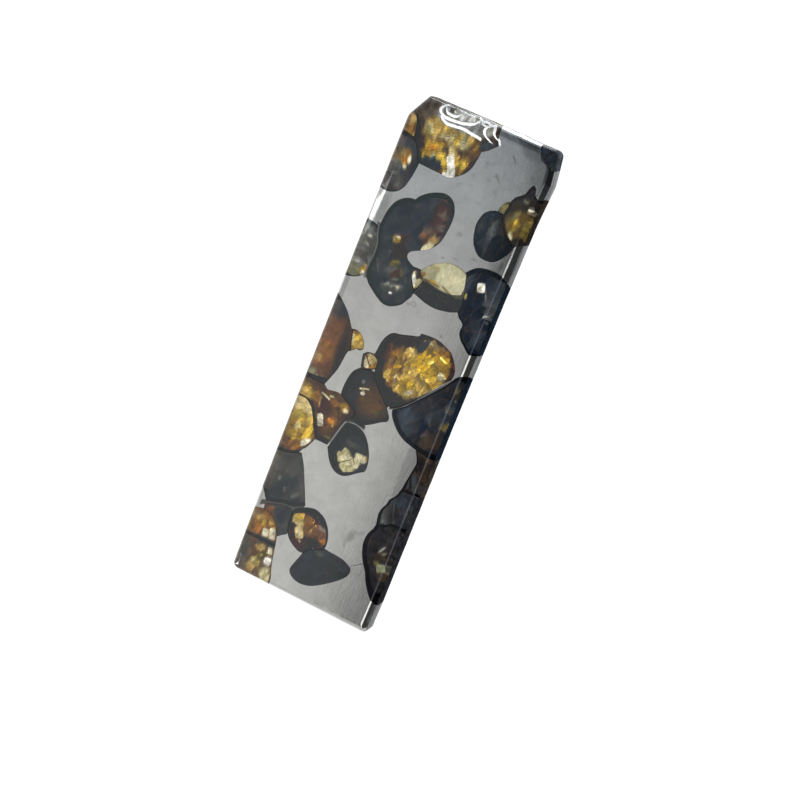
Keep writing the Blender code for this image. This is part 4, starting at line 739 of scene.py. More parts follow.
            ("b", -3.45, 1.52, 0.31, 0.33, 4, "white", 0.12),
            ("m", -4.6, 0.6, 0.35, 0.25, 0, "tan", 0.4),
            ("e", -5.6, 1.5, 0.35, 1.5, 0, "smoke", 0.4),
        ]),
    "crystal_lower_round_amber": dict(
        base="bark", base_two="umber", cell=2.5, long=1.5, turn=30, mosaic=0.4, patches=[
            ("m", -1.5, 5.5, 0.5, 0.8, 20, "caramel", 0.25),
            ("m", -0.6, 5.35, 0.95, 0.55, -10, "brown", 0.3),
            ("m", -0.4, 5.4, 0.7, 0.4, -10, "rust", 0.5),
            ("B", -2.3, 5.65, 0.55, 0.42, 5, "butter", 0.15),
            ("m", -2.35, 5.75, 0.4, 0.25, 5, "yellow", 0.3),
            ("m", -2.35, 6.05, 0.45, 0.15, 0, "wheat", 0.3),
            ("b", -1.95, 4.72, 0.36, 0.5, 25, "butter", 0.15),
            ("e", -1.95, 4.7, 0.14, 0.4, 25, "cream", 0.6),
            ("m", -1.1, 5.15, 0.18, 0.25, 0, "wheat", 0.4),
            ("m", -0.3, 5.8, 0.35, 0.14, -10, "haze", 0.5),
            ("m", 0.1, 4.8, 0.22, 0.35, 0, "amber", 0.4),
            ("e", -1.65, 4.1, 0.14, 0.09, 0, "cream", 0.4),
            ("e", -0.65, 4.3, 0.45, 0.4, 20, "ink", 0.3),
            ("e", -1.2, 6.7, 1.6, 0.4, -8, "bark", 0.3),
        ]),
    "crystal_bottom_dark": dict(
        base="slate", base_two="bark", cell=1.4, clear=0.3, patches=[
            ("e", 0.2, 4.0, 0.3, 0.2, 0, "smoke", 0.7),
            ("e", 1.4, 4.2, 0.6, 0.1, -4, "ink", 0.5),
        ]),
}

# Darker (above 0) and brighter (below 0) patches of the metal, pits and marks and, in the first
# seven, painted dark reflection: kind, centre, half sizes, angle, strength, softness
METAL_PATCHES = [
    # Painted shade: the first seven patches darken the metal where it mirrors darker surroundings,
    # at the top end and beside the left and right edges; the rest are pits, scratches, marks and
    # mottling
    ("e", 3.6, 38.1, 1.0, 0.6, -25, 0.35, 0.5),
    ("b", 2.2, 38.35, 2.4, 0.35, 0, 0.12, 0.5),
    ("e", 5.2, 37.0, 1.3, 1.2, 0, 0.2, 0.6),
    ("b", 4.15, 12.6, 0.62, 2.2, 3, 0.2, 0.06),
    ("e", 4.85, 30.4, 0.25, 1.2, -10, 0.42, 0.4),
    ("e", -5.2, 30.0, 0.4, 1.3, 0, 0.28, 0.5),
    ("e", 4.6, 29.4, 0.7, 0.5, 0, 0.3, 0.5),
    ("b", 3.2, 4.52, 0.55, 0.03, 39, 0.6, 0.5),
    ("e", 1.95, 6.4, 0.25, 0.5, -15, 0.3, 0.6),
    ("e", 2.5, 6.9, 0.3, 0.2, 30, 0.15, 0.6),
    ("e", 1.7, 5.6, 0.12, 0.3, 10, 0.2, 0.6),
    ("e", -0.3, 24.5, 0.24, 0.2, 0, 0.25, 0.3),
    ("e", -0.3, 24.5, 0.12, 0.1, 0, -0.2, 0.4),
    ("e", -0.7, 24.35, 0.2, 0.16, 0, 0.22, 0.4),
    ("e", 0.9, 30.5, 0.22, 0.17, 0, 0.22, 0.6),
    ("e", 2.5, 23.15, 0.14, 0.12, 0, 0.25, 0.6),
    ("e", 0.4, 28.5, 0.12, 0.1, 0, 0.25, 0.6),
    ("e", 2.7, 29.3, 0.25, 0.12, 0, 0.2, 0.6),
    ("e", 1.35, 28.8, 0.25, 0.08, 0, 0.18, 0.6),
    ("b", 2.6, 37.0, 0.3, 0.06, -55, 0.3, 0.5),
    ("b", 2.0, 35.3, 0.35, 0.09, -50, 0.25, 0.5),
    ("e", 1.6, 35.9, 1.2, 1.0, 20, 0.06, 0.8),
]

def linear(channel):
    """One 0 to 255 screen value as a linear amount of light."""
    c = channel / 255
    return c / 12.92 if c <= 0.04045 else ((c + 0.055) / 1.055) ** 2.4


def counter_clockwise(points):
    """The points in counter-clockwise order."""
    area = sum(a[0] * b[1] - b[0] * a[1] for a, b in zip(points, points[1:] + points[:1]))
    return points if area > 0 else points[::-1]


def smooth_outline(points, spacing):
    """Closed curve through the points, left sharp where a point is marked as a corner."""
    count = len(points)
    curve = []
    for i in range(count):
        before, start, end, after = (points[(i + k) % count] for k in (-1, 0, 1, 2))
        if len(start) == 3:
            before = start
        if len(end) == 3:
            after = end
        steps = max(1, ceil(hypot(end[0] - start[0], end[1] - start[1]) / spacing))
        for j in range(steps):
            t = j / steps
            curve.append(tuple(
                0.5 * (2 * start[k] + (end[k] - before[k]) * t
                       + (2 * before[k] - 5 * start[k] + 4 * end[k] - after[k]) * t * t
                       + (3 * start[k] - before[k] - 3 * end[k] + after[k]) * t ** 3)
                for k in (0, 1)))
    return counter_clockwise(curve)


def offset_outline(points, distance):
    """Counter-clockwise outline moved outward by a distance, or inward by a negative one."""
    moved = []
    for before, here, after in zip(points[-1:] + points[:-1], points, points[1:] + points[:1]):
        first = (Vector(here) - Vector(before)).normalized()
        second = (Vector(after) - Vector(here)).normalized()
        normal = Vector((first.y + second.y, -first.x - second.x)).normalized()
        stretch = max(0.5, normal.dot(Vector((first.y, -first.x))))
        moved.append(tuple(Vector(here) + normal * distance / stretch))
    return moved


def bar_outline(inset):
    """The bar's outline moved inward, with its corners rounded by a smaller radius."""
    points = counter_clockwise(BAR)
    bends = offset_outline([point[:2] for point in points], -inset)
    outline = []
    for i, point in enumerate(points):
        here = Vector(bends[i])
        if len(point) == 2:
            outline.append(tuple(here))
            continue
        radius = max(point[2] - inset, LEAST_RADIUS)
        first = (here - Vector(bends[i - 1])).normalized()
        second = (Vector(bends[(i + 1) % len(bends)]) - here).normalized()
        turn = first.angle(second)
        spoke = Vector((first.y, -first.x)) * radius
        middle = here - first * radius * tan(turn / 2) - spoke
        for step in range(CORNER_STEPS + 1):
            a = turn * step / CORNER_STEPS
            outline.append((middle.x + spoke.x * cos(a) - spoke.y * sin(a),
                            middle.y + spoke.x * sin(a) + spoke.y * cos(a)))
    return outline


def divided(ring, counts):
    """The ring with each of its sides cut into the given number of steps."""
    fine = []
    for start, end, count in zip(ring, ring[1:] + ring[:1], counts):
        for j in range(count):
            t = j / count
            fine.append((start[0] + (end[0] - start[0]) * t, start[1] + (end[1] - start[1]) * t))
    return fine


def wander(x, y, seed, size):
    """Smooth noise from 0 to 1 at a point, with features of about the given size."""
    return 0.5 + 0.5 * noise.noise(Vector((x / size, y / size, seed)))


def ragged_ring(inset, counts, seed):
    """The bar's outline at one inset, worn inward by small uneven amounts."""
    ring = divided(bar_outline(inset), counts)
    worn = offset_outline(ring, -1.0)
    moved = []
    for (x, y), (inner_x, inner_y) in zip(ring, worn):
        depth = RAGGED * (wander(x, y, seed, 0.9) + 0.6 * wander(x, y, seed + 5, 0.3))
        if y > WORN_FROM:
            depth *= 1.0 + WORN_MORE * min(1.0, y - WORN_FROM)
        reach = Vector((inner_x - x, inner_y - y))
        reach.normalize()
        moved.append((x + reach.x * depth, y + reach.y * depth))
    return moved


def solid_from_rings(name, rings, slot):
    """Closed solid through rings of equal length, listed from the top down, in mm."""
    mesh = bmesh.new()
    loops = [[mesh.verts.new((x - CENTRE[0], y - CENTRE[1], z))
              for x, y, z in ring] for ring in rings]
    mesh.faces.new(loops[0])
    mesh.faces.new(loops[-1][::-1])
    for upper, lower in zip(loops, loops[1:]):
        for i in range(len(upper)):
            j = (i + 1) % len(upper)
            mesh.faces.new((upper[i], lower[i], lower[j], upper[j]))
    bmesh.ops.recalc_face_normals(mesh, faces=mesh.faces)
    for face in mesh.faces:
        face.material_index = slot
    data = bpy.data.meshes.new(name)
    mesh.to_mesh(data)
    mesh.free()
    for material in SLOTS:
        data.materials.append(material)
    body = bpy.data.objects.new(name, data)
    bpy.context.scene.collection.objects.link(body)
    return body


def bar_blank(name):
    """The whole bar before the crystals are set in it: two flat faces and rounded edges."""
    base = bar_outline(0.0)
    counts = [max(1, ceil(hypot(b[0] - a[0], b[1] - a[1]) / RIM_SPACING))
              for a, b in zip(base, base[1:] + base[:1])]
    rings = []
    for side in (1, -1):
        steps = range(EDGE_STEPS + 1) if side > 0 else range(EDGE_STEPS, -1, -1)
        for step in steps:
            angle = 0.5 * pi * step / EDGE_STEPS
            inset = EDGE_WIDTH * (1 - sin(angle))
            drop = EDGE_DEPTH * (1 - cos(angle))
            z = THICKNESS - drop if side > 0 else drop
            seed = 0.15 * step if side > 0 else 3.1 - 0.15 * step
            rings.append([(x, y, z) for x, y in ragged_ring(inset, counts, seed)])
    body = solid_from_rings(name, rings, 0)
    for face in body.data.polygons:
        up = abs(face.normal.z)
        if up < UPRIGHT or (up < SAWN_TILT and face.center.x + CENTRE[0] > SAWN_FROM):
            face.material_index = 2
    return body


def middle_of(outline):
    """The mean of an outline's points."""
    return tuple(sum(point[k] for point in outline) / len(outline) for k in (0, 1))


def column(name, outline, back, foot, grow):
    """A crystal's column, drawn past the faces, with its outline grown by a gap."""
    edge = offset_outline(smooth_outline(outline, SPACING), grow)
    middle_x, middle_y = middle_of(outline)
    scale, across, along = back
    bottom = foot - grow if foot > 0 else -OVERRUN
    rings = []
    for z in (THICKNESS + OVERRUN, bottom):
        t = (THICKNESS - z) / THICKNESS
        s = 1 + (scale - 1) * t
        rings.append([(middle_x + (x - middle_x) * s + across * t,
                       middle_y + (y - middle_y) * s + along * t, z) for x, y in edge])
    return solid_from_rings(name, rings, 1)


def apply_boolean(body, tool, operation):
    """Join or cut two bodies exactly, then drop the tool."""
    modifier = body.modifiers.new("shape", 'BOOLEAN')
    modifier.solver = 'EXACT'
    modifier.operation = operation
    modifier.object = tool
    bpy.context.view_layer.update()
    result = body.evaluated_get(bpy.context.evaluated_depsgraph_get())
    data = bpy.data.meshes.new_from_object(result)
    body.modifiers.clear()
    body.data = data
    bpy.data.objects.remove(tool)


def keep_largest(body):
    """Leave only the largest connected piece, without the crumbs that the cuts leave."""
    mesh = bmesh.new()
    mesh.from_mesh(body.data)
    left = set(mesh.faces)
    pieces = []
    while left:
        stack = [left.pop()]
        piece = list(stack)
        while stack:
            for edge in stack.pop().edges:
                for face in edge.link_faces:
                    if face in left:
                        left.remove(face)
                        stack.append(face)
                        piece.append(face)
        pieces.append(piece)
    pieces.sort(key=lambda piece: sum(face.calc_area() for face in piece))
    for piece in pieces[:-1]:
        bmesh.ops.delete(mesh, geom=piece, context='FACES')
    loose = [vert for vert in mesh.verts if not vert.link_faces]
    bmesh.ops.delete(mesh, geom=loose, context='VERTS')
    mesh.to_mesh(body.data)
    mesh.free()


def reach_of(outline):
    """Box around an outline, wide enough to hold its column at every height."""
    xs = [point[0] for point in outline]
    ys = [point[1] for point in outline]
    return min(xs) - 1, max(xs) + 1, min(ys) - 1, max(ys) + 1


def boxes_meet(a, b):
    """Whether two boxes overlap."""
    return a[0] < b[1] and b[0] < a[1] and a[2] < b[3] and b[2] < a[3]


def finish_shape(body, materials):
    """From mm to metres, with shading that is soft over the rounded edges only."""
    body.data.transform(Matrix.Scale(MM, 4))
    for index, material in enumerate(materials):
        body.data.materials[index] = material
    body.data.shade_smooth()
    body.data.set_sharp_from_angle(angle=SHARP_ANGLE)
    even = body.modifiers.new("even shading", 'WEIGHTED_NORMAL')
    even.mode = 'FACE_AREA'
    even.keep_sharp = True


class Pattern:
    """Short names for the nodes that the materials here are made of."""

    def __init__(self, name):
        self.material = bpy.data.materials.new(name)
        self.material.use_nodes = True
        self.tree = self.material.node_tree
        self.shader = self.tree.nodes["Principled BSDF"]
        self.output = self.tree.nodes["Material Output"]

    def node(self, kind, inputs, **settings):
        made = self.tree.nodes.new("ShaderNode" + kind)
        for key, value in settings.items():
            setattr(made, key, value)
        for key, value in inputs.items():
            if isinstance(value, bpy.types.NodeSocket):
                self.tree.links.new(value, made.inputs[key])
            else:
                made.inputs[key].default_value = value
        return made

    def math(self, operation, first, second=0.0, third=0.0):
        inputs = {0: first, 1: second, 2: third}
        return self.node("Math", inputs, operation=operation).outputs[0]

    def vector(self, operation, first, second=(0.0, 0.0, 0.0)):
        made = self.node("VectorMath", {0: first, 1: second}, operation=operation)
        return made.outputs["Value" if operation == 'LENGTH' else "Vector"]

    def scaled(self, vector, amount):
        inputs = {0: vector, "Scale": amount}
        return self.node("VectorMath", inputs, operation='SCALE').outputs["Vector"]

    def ramp(self, value, low, high, to_low=0.0, to_high=1.0):
        inputs = {"Value": value, 1: low, 2: high, 3: to_low, 4: to_high}
        return self.node("MapRange", inputs, interpolation_type='SMOOTHSTEP').outputs[0]

    def blend(self, amount, first, second, mode='MIX'):
        made = self.node("Mix", {}, data_type='RGBA', blend_type=mode)
        for key, value in ((0, amount), (6, first), (7, second)):
            if isinstance(value, bpy.types.NodeSocket):
                self.tree.links.new(value, made.inputs[key])
            else:
                made.inputs[key].default_value = value
        return made.outputs[2]

    def noise(self, place, scale, detail=2.0, roughness=0.5):
        inputs = {"Vector": place, "Scale": scale, "Detail": detail, "Roughness": roughness}
        return self.node("TexNoise", inputs)

    def grey(self, value):
        return self.node("CombineColor", {0: value, 1: value, 2: value}).outputs[0]

    def wave(self, place, scale, detail, roughness, amount):
        """A small wandering shift within the plane of the slice."""
        shift = self.noise(place, scale, detail, roughness).outputs["Color"]
        shift = self.scaled(self.vector('SUBTRACT', shift, (0.5, 0.5, 0.5)), amount)
        return self.vector('MULTIPLY', shift, (1.0, 1.0, 0.0))

    def link(self, value, key):
        self.tree.links.new(value, self.shader.inputs[key])

    def surface(self, colour, rough, height, strength, distance):
        """Colour, roughness and fine relief of the shader."""
        self.link(colour, "Base Color")
        self.link(rough, "Roughness")
        relief = self.node("Bump", {"Height": height, "Strength": strength, "Distance": distance})
        self.link(relief.outputs[0], "Normal")

    def place(self, lean):
        """Where a point lies in the coordinates of the outlines, in mm and flattened.

        With lean, a deeper point is moved to where the line of sight through it meets the face.
        """
        here = self.node("TexCoord", {}).outputs["Object"]
        here = self.scaled(here, 1 / MM)
        here = self.vector('ADD', here, (CENTRE[0], CENTRE[1], 0.0))
        parts = self.node("SeparateXYZ", {0: here})
        depth = self.math('SUBTRACT', THICKNESS, parts.outputs["Z"])
        x = self.math('MULTIPLY_ADD', depth, LEAN[0] if lean else 0.0, parts.outputs["X"])
        y = self.math('MULTIPLY_ADD', depth, LEAN[1] if lean else 0.0, parts.outputs["Y"])
        flat = self.node("CombineXYZ", {"X": x, "Y": y, "Z": 0.0}).outputs[0]
        return flat, depth

    def patch(self, place, patch):
        """How far a point is inside one patch, from 0 to 1, with a soft border."""
        kind, x, y, half_x, half_y, angle = patch[:6]
        soft = patch[7]
        inputs = {"Vector": place, "Location": (x, y, 0.0),
                  "Rotation": (0.0, 0.0, radians(angle)), "Scale": (half_x, half_y, 1.0)}
        spot = self.node("Mapping", inputs, vector_type='TEXTURE').outputs[0]
        if kind in "bB":
            spot = self.vector('MULTIPLY', spot, spot)
        away = self.vector('LENGTH', spot)
        return self.ramp(away, 1.0 + soft, 1.0 - soft)

    def strokes(self, place, strokes):
        """How far a point is inside any of some thin strokes, each a curve along x or along y."""
        parts = self.node("SeparateXYZ", {"Vector": place})
        total = 0.0
        for half_width, axis, points, strength in strokes:
            run, height = (parts.outputs[0], parts.outputs[1])
            if axis == "y":
                run, height = height, run
            low = min(p[1] for p in points) - STROKE_MARGIN
            curve = self.node("FloatCurve", {})
            start, end = points[0][0], points[-1][0]
            course = curve.mapping.curves[0]
            places = [((p[0] - start) / (end - start), (p[1] - low) / STROKE_SPAN)
                      for p in points]
            course.points[0].location = places[0]
            course.points[1].location = places[-1]
            for spot in places[1:-1]:
                course.points.new(*spot)
            curve.mapping.update()
            along = self.math('MULTIPLY_ADD', run, 1 / (end - start), -start / (end - start))
            self.tree.links.new(along, curve.inputs["Value"])
            course_height = self.math('MULTIPLY_ADD', curve.outputs[0], STROKE_SPAN, low)
            away = self.math('ABSOLUTE', self.math('SUBTRACT', height, course_height))
            inside = self.ramp(away, 1.35 * half_width, 0.65 * half_width)
            middle, reach = (start + end) / 2, (end - start) / 2
            past = self.math('ABSOLUTE', self.math('SUBTRACT', run, middle))
            ends = self.ramp(past, reach + STROKE_END, reach - STROKE_END, 0.0, strength)
            inside = self.math('MULTIPLY', inside, ends)
            total = self.math('MAXIMUM', inside, total)
        return total


def crystal_material(name, look, outline):
    """See-through olivine: a mosaic of toned patches with painted shade across the chips, fracture
    lines, a painted sheen along the left edge, painted highlight strokes where a crystal has them,
    and an amber body.
    """
    pattern = Pattern(name)
    shader = pattern.shader
    place, depth = pattern.place(lean=True)
    shine = look.get("shine", (0.9, 0.97, 1.0))
    middle_x, middle_y = middle_of(outline)
    share = RIGHT_FACE_SHARE if middle_x > RIGHT_FACE_FROM else 1.0
    # Less toward the top end
    lit = SHINE * (0.95 - 0.014 * max(0.0, middle_y - 14)) * share

    def tone(key):
        """The tint that shows a palette colour once the shine of the face is taken off."""
        found = []
        for channel, mirrored, dimmed in zip(PALETTE[key], shine, BODY_DIMMING):
            light = linear(channel) - lit * mirrored
            found.append(min(0.98, max(0.0015, light / (GLOW * dimmed))))
        return (*found, 1.0)

    # Uneven borders, and the angular mosaic that the fractures make of the patches
    wave = pattern.wave(place, WAVE_SCALE, 3.0, 0.6, look.get("wave", 0.3))
    loose = pattern.vector('ADD', place, wave)
    grain = {"Rotation": (0.0, 0.0, radians(look.get("turn", 60.0))),
             "Scale": (look.get("long", 1.5), 1.0, 1.0)}
    turned = pattern.node("Mapping", {"Vector": loose, **grain}, vector_type='TEXTURE').outputs[0]
    cell = look.get("cell", 3.0)
    chips = pattern.node("TexVoronoi", {"Vector": turned, "Scale": cell}, voronoi_dimensions='2D')
    lines = pattern.node("TexVoronoi", {"Vector": turned, "Scale": cell},
                         voronoi_dimensions='2D', feature='DISTANCE_TO_EDGE')
    splinters = pattern.node("TexVoronoi", {"Vector": loose, "Scale": 2.6 * cell},
                             voronoi_dimensions='2D')
    middle = pattern.node("Mapping", {"Vector": chips.outputs["Position"], **grain},
                          vector_type='POINT').outputs[0]
    mosaic = look.get("mosaic", 0.55)
    small = look.get("small", 0.25)
    broken = pattern.scaled(loose, 1 - mosaic - small)
    broken = pattern.vector('ADD', broken, pattern.scaled(middle, mosaic))
    broken = pattern.vector('ADD', broken, pattern.scaled(splinters.outputs["Position"], small))
    crisp = pattern.vector('ADD', place, pattern.scaled(wave, 0.35))

    colour = pattern.blend(pattern.ramp(pattern.noise(broken, 0.9).outputs[0], 0.35, 0.65),
                           tone(look["base"]), tone(look["base_two"]))
    for patch in look["patches"]:
        where = crisp if patch[0] in "eb" else broken
        colour = pattern.blend(pattern.patch(where, patch), colour, tone(patch[6]))

    # Painted sheen: paler along the left edge, where the crystal thins on the rounded edge, standing
    # for the light that this edge mirrors
    edge = pattern.node("SeparateXYZ", {0: crisp}).outputs[0]
    edge = pattern.ramp(edge, -5.35, -6.1, 0.0, look.get("haze", 0.6))
    colour = pattern.blend(edge, colour, tone("haze"))

    # Painted shade: each chip is painted lighter on one side and darker on the other, as if tilted
    # its own way; the chips and splinters also differ in tone at random
    vary = look.get("vary", 0.3)
    random = pattern.vector('SUBTRACT', chips.outputs["Color"], (0.5, 0.5, 0.5))
    across_chip = pattern.vector('SUBTRACT', loose, middle)
    painted_tilt_shade = pattern.node("VectorMath", {0: random, 1: across_chip}, operation='DOT_PRODUCT')
    first = pattern.node("SeparateColor", {0: chips.outputs["Color"]}).outputs[0]
    second = pattern.node("SeparateColor", {0: splinters.outputs["Color"]}).outputs[0]
    shade = pattern.math('MULTIPLY_ADD', painted_tilt_shade.outputs["Value"], 3.4 * cell * vary, 1.0)
    by_chip = pattern.ramp(first, 0.1, 0.9, 1.0 - vary, 1.0 + 0.7 * vary)
    shade = pattern.math('MULTIPLY', shade, by_chip)
    by_splinter = pattern.ramp(second, 0.1, 0.9, 1.0 - 0.7 * vary, 1.0 + 0.6 * vary)
    shade = pattern.math('MULTIPLY', shade, by_splinter)
    shade = pattern.math('MAXIMUM', shade, 0.35)
    colour = pattern.blend(1.0, colour, pattern.node("CombineColor", {
        0: shade, 1: shade, 2: pattern.math('POWER', shade, 1.12)}).outputs[0], 'MULTIPLY')
    crack = pattern.ramp(lines.outputs["Distance"], 0.0, CRACK_WIDTH, 1.0, 0.0)
    some = pattern.ramp(pattern.noise(place, 1.1).outputs[0], 0.42, 0.6)
    crack = pattern.math('MULTIPLY', crack, some)
    crack = pattern.math('MULTIPLY', crack, look.get("crack", 0.5))
    colour = pattern.blend(crack, colour, tone(look.get("crack_tone", "umber")))
    fleck = pattern.noise(broken, 5.0, 3.0, 0.7).outputs[0]
    fleck = pattern.ramp(fleck, 0.3, 0.7, 0.8, 1.15)
    colour = pattern.blend(0.7, colour, pattern.grey(fleck), 'MULTIPLY')
    shader.inputs["Transmission Weight"].default_value = look.get("clear", 1.0)
    shader.inputs["IOR"].default_value = BODY_IOR
    shader.inputs["Specular Tint"].default_value = (*shine, 1.0)
    rough = pattern.ramp(pattern.noise(place, 3.0).outputs[0], 0.3, 0.7, 0.03, 0.08)

    # Broken inside and at the back, while the polished face stays flat
    inside = pattern.ramp(depth, 0.9, 1.6)
    height = pattern.math('MULTIPLY', lines.outputs["Distance"], inside)
    strokes = [stroke[1:] for stroke in GLARE_STROKES if stroke[0] == name]
    if "milk" in look:
        milk = 0.0
        for spot in look["milk"]:
            amount = pattern.math('MULTIPLY', pattern.patch(crisp, spot), spot[6])
            milk = pattern.math('MAXIMUM', amount, milk)
        pattern.link(pattern.math('SUBTRACT', 1.0, milk), "Transmission Weight")
    if strokes:
        # Painted highlight: where a glare stroke runs, the face is painted white and lets no light
        # through; the stroke also adds a little roughness and relief
        painted_glare = pattern.strokes(crisp, strokes)
        painted_glare = pattern.math('MULTIPLY', painted_glare, pattern.ramp(depth, 0.5, 0.8, 1.0, 0.0))
        colour = pattern.blend(painted_glare, colour, GLARE_COLOUR)
        pattern.link(pattern.math('SUBTRACT', 1.0, painted_glare), "Transmission Weight")
        rough = pattern.math('MULTIPLY_ADD', painted_glare, 0.3, rough)
        height = pattern.math('MULTIPLY_ADD', painted_glare, 0.2, height)
    pattern.surface(colour, rough, height, 0.35, 0.00025)

    body = pattern.node("VolumeAbsorption", {"Color": (*BODY_TINT, 1.0), "Density": BODY_DENSITY})
    pattern.tree.links.new(body.outputs[0], pattern.output.inputs["Volume"])
    return pattern.material


def wall_material(name, key, level=1.0, gloss=0.2):
    """The dull side of a crystal or of its pocket, in a palette tone."""
    pattern = Pattern(name)
    first = [level * linear(c) for c in PALETTE[key]]
    second = [0.45 * c for c in first]
    spots = pattern.noise(pattern.node("TexCoord", {}).outputs["Object"], 1800.0, 4.0, 0.6)
    amount = pattern.ramp(spots.outputs[0], 0.35, 0.65)
    colour = pattern.blend(amount, (*first, 1.0), (*second, 1.0))
    rough = pattern.ramp(spots.outputs[0], 0.3, 0.7, 0.55, 0.8)
    pattern.shader.inputs["Specular IOR Level"].default_value = gloss
    pattern.surface(colour, rough, spots.outputs[0], 0.5, 0.0001)
    return pattern.material


def metal_material():
    """Polished iron-nickel: fine lengthwise polishing, faint mottling, pits, darker marks, painted
    dark reflection near the edges and a stroke of painted highlight at the top end.
    """
    pattern = Pattern("polished_metal")
    place = pattern.place(lean=False)[0]
    along = pattern.node("Mapping", {"Vector": place, "Scale": (2.6, 0.3, 1.0),
                                     "Rotation": (0.0, 0.0, radians(4.0))}).outputs[0]
    streaks = pattern.noise(along, 2.2, 5.0, 0.65).outputs[0]
    cloud = pattern.noise(place, 0.6, 4.0, 0.6).outputs[0]
    light = pattern.ramp(cloud, 0.3, 0.7, 0.93, 1.05)
    light = pattern.math('MULTIPLY', light, pattern.ramp(streaks, 0.25, 0.75, 0.975, 1.02))
    # More smudged toward the top end
    elsewhere = pattern.vector('ADD', place, (7.3, 1.9, 0.0))
    smudge = pattern.noise(elsewhere, 1.3, 5.0, 0.7).outputs[0]
    upper = pattern.ramp(pattern.node("SeparateXYZ", {0: place}).outputs[1], 29.0, 35.5, 0.25, 1.0)
    smudge = pattern.math('MULTIPLY', pattern.ramp(smudge, 0.5, 0.75), upper)
    light = pattern.math('MULTIPLY', light, pattern.math('MULTIPLY_ADD', smudge, -0.28, 1.0))
    grit = pattern.noise(place, 7.0, 4.0, 0.7).outputs[0]
    light = pattern.math('MULTIPLY', light, pattern.ramp(grit, 0.6, 0.8, 1.0, 0.78))
    colour = pattern.blend(1.0, METAL, pattern.grey(light), 'MULTIPLY')
    loose = pattern.vector('ADD', place, pattern.wave(place, 1.4, 4.0, 0.65, 0.5))
    for patch in METAL_PATCHES:
        strength = patch[6]
        spot = pattern.patch(loose, patch)
        # A patch blends toward black or pale: pits and marks, and in the first seven painted dark
        # reflection
        dull = pattern.math('MULTIPLY', spot, abs(strength))
        shade = (0.0, 0.0, 0.0, 1.0) if strength > 0 else (0.9, 0.9, 0.88, 1.0)
        colour = pattern.blend(dull, colour, shade)
    colour = pattern.blend(pattern.strokes(place, SEAMS), colour, FILM)
    # Painted highlight: the glare stroke that reaches the metal is painted white and made
    # non-metallic
    painted_glare = pattern.strokes(loose, [stroke[1:] for stroke in GLARE_STROKES if stroke[0] == "metal"])
    colour = pattern.blend(painted_glare, colour, GLARE_COLOUR)
    pattern.link(pattern.math('SUBTRACT', 1.0, painted_glare), "Metallic")
    rough = pattern.ramp(streaks, 0.2, 0.8, 0.07, 0.11)
    rough = pattern.math('ADD', rough, pattern.ramp(grit, 0.6, 0.8, 0.0, 0.15))
    rough = pattern.math('MULTIPLY_ADD', painted_glare, 0.3, rough)
    height = pattern.math('MULTIPLY_ADD', streaks, 0.5, pattern.math('MULTIPLY', grit, 0.6))
    pattern.surface(colour, rough, height, 0.04, 0.00004)
    return pattern.material


def metal_side_material():
    """The sawn side of the bar: dark and dull, with marks along the cut."""
    pattern = Pattern("sawn_metal")
    place = pattern.node("TexCoord", {}).outputs["Object"]
    marks = pattern.node("Mapping", {"Vector": place, "Scale": (900.0, 160.0, 4000.0)}).outputs[0]
    marks = pattern.noise(marks, 1.0, 4.0, 0.65).outputs[0]
    colour = pattern.blend(pattern.ramp(marks, 0.3, 0.7), (0.17, 0.17, 0.172, 1.0),
                           (0.40, 0.40, 0.40, 1.0))
    rough = pattern.ramp(marks, 0.3, 0.7, 0.5, 0.7)
    pattern.shader.inputs["Specular IOR Level"].default_value = 0.0
    pattern.surface(colour, rough, marks, 0.4, 0.00006)
    return pattern.material


def floor_material():
    """Plain white floor that is lit from inside like a light table."""
    pattern = Pattern("floor")
    shader = pattern.shader
    cloud = pattern.noise(pattern.node("TexCoord", {}).outputs["Object"], 1.5).outputs[0]
    white = pattern.ramp(cloud, 0.0, 1.0, 0.02, 0.03)
    pattern.link(pattern.grey(white), "Base Color")
    shader.inputs["Roughness"].default_value = 1.0
    shader.inputs["Specular IOR Level"].default_value = 0.0
    shader.inputs["Emission Color"].default_value = (1.0, 1.0, 1.0, 1.0)
    shader.inputs["Emission Strength"].default_value = GLOW
    clear = pattern.node("BsdfTransparent", {}).outputs[0]
    under = pattern.node("NewGeometry", {}).outputs["Backfacing"]
    both = pattern.node("MixShader", {0: under, 1: shader.outputs[0], 2: clear})
    pattern.tree.links.new(both.outputs[0], pattern.output.inputs["Surface"])
    return pattern.material


SLOTS = [bpy.data.materials.new(name) for name in ("face", "wall", "side")]

metal = bar_blank("polished_metal")
for name, back, foot, outline in CRYSTALS:
    apply_boolean(metal, column("pocket", outline, back, foot, SEAT), 'DIFFERENCE')
keep_largest(metal)
finish_shape(metal, [metal_material(), wall_material("pocket_wall", "pocket"),
                     metal_side_material()])
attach(metal, "root")
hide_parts("metal_matrix")

for index, (name, back, foot, outline) in enumerate(CRYSTALS):
    crystal = bar_blank(name.replace("crystal", "olivine"))
    apply_boolean(crystal, column("column", outline, back, foot, GROWTH), 'INTERSECT')
    for other_name, other_back, other_foot, other in CRYSTALS[:index]:
        if boxes_meet(reach_of(outline), reach_of(other)):
            neighbour = column("neighbour", other, other_back, other_foot, CONTACT)
            apply_boolean(crystal, neighbour, 'DIFFERENCE')
    keep_largest(crystal)
    look = LOOKS[name]
    short = name.replace("crystal_", "")
    # Painted light: a crystal that reaches the right side gets a brighter outer side than the others
    reaches_right = max(point[0] for point in outline) > RIGHT_SIDE_FROM
    level = RIGHT_SIDE_LEVEL if reaches_right else SIDE_LEVEL
    finish_shape(crystal, [crystal_material("olivine_" + short, look, outline),
                           wall_material("rim_" + short, look.get("wall", "umber")),
                           wall_material("side_" + short, look["base"], level, 0.0)])
    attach(crystal, "root")
    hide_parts(name)

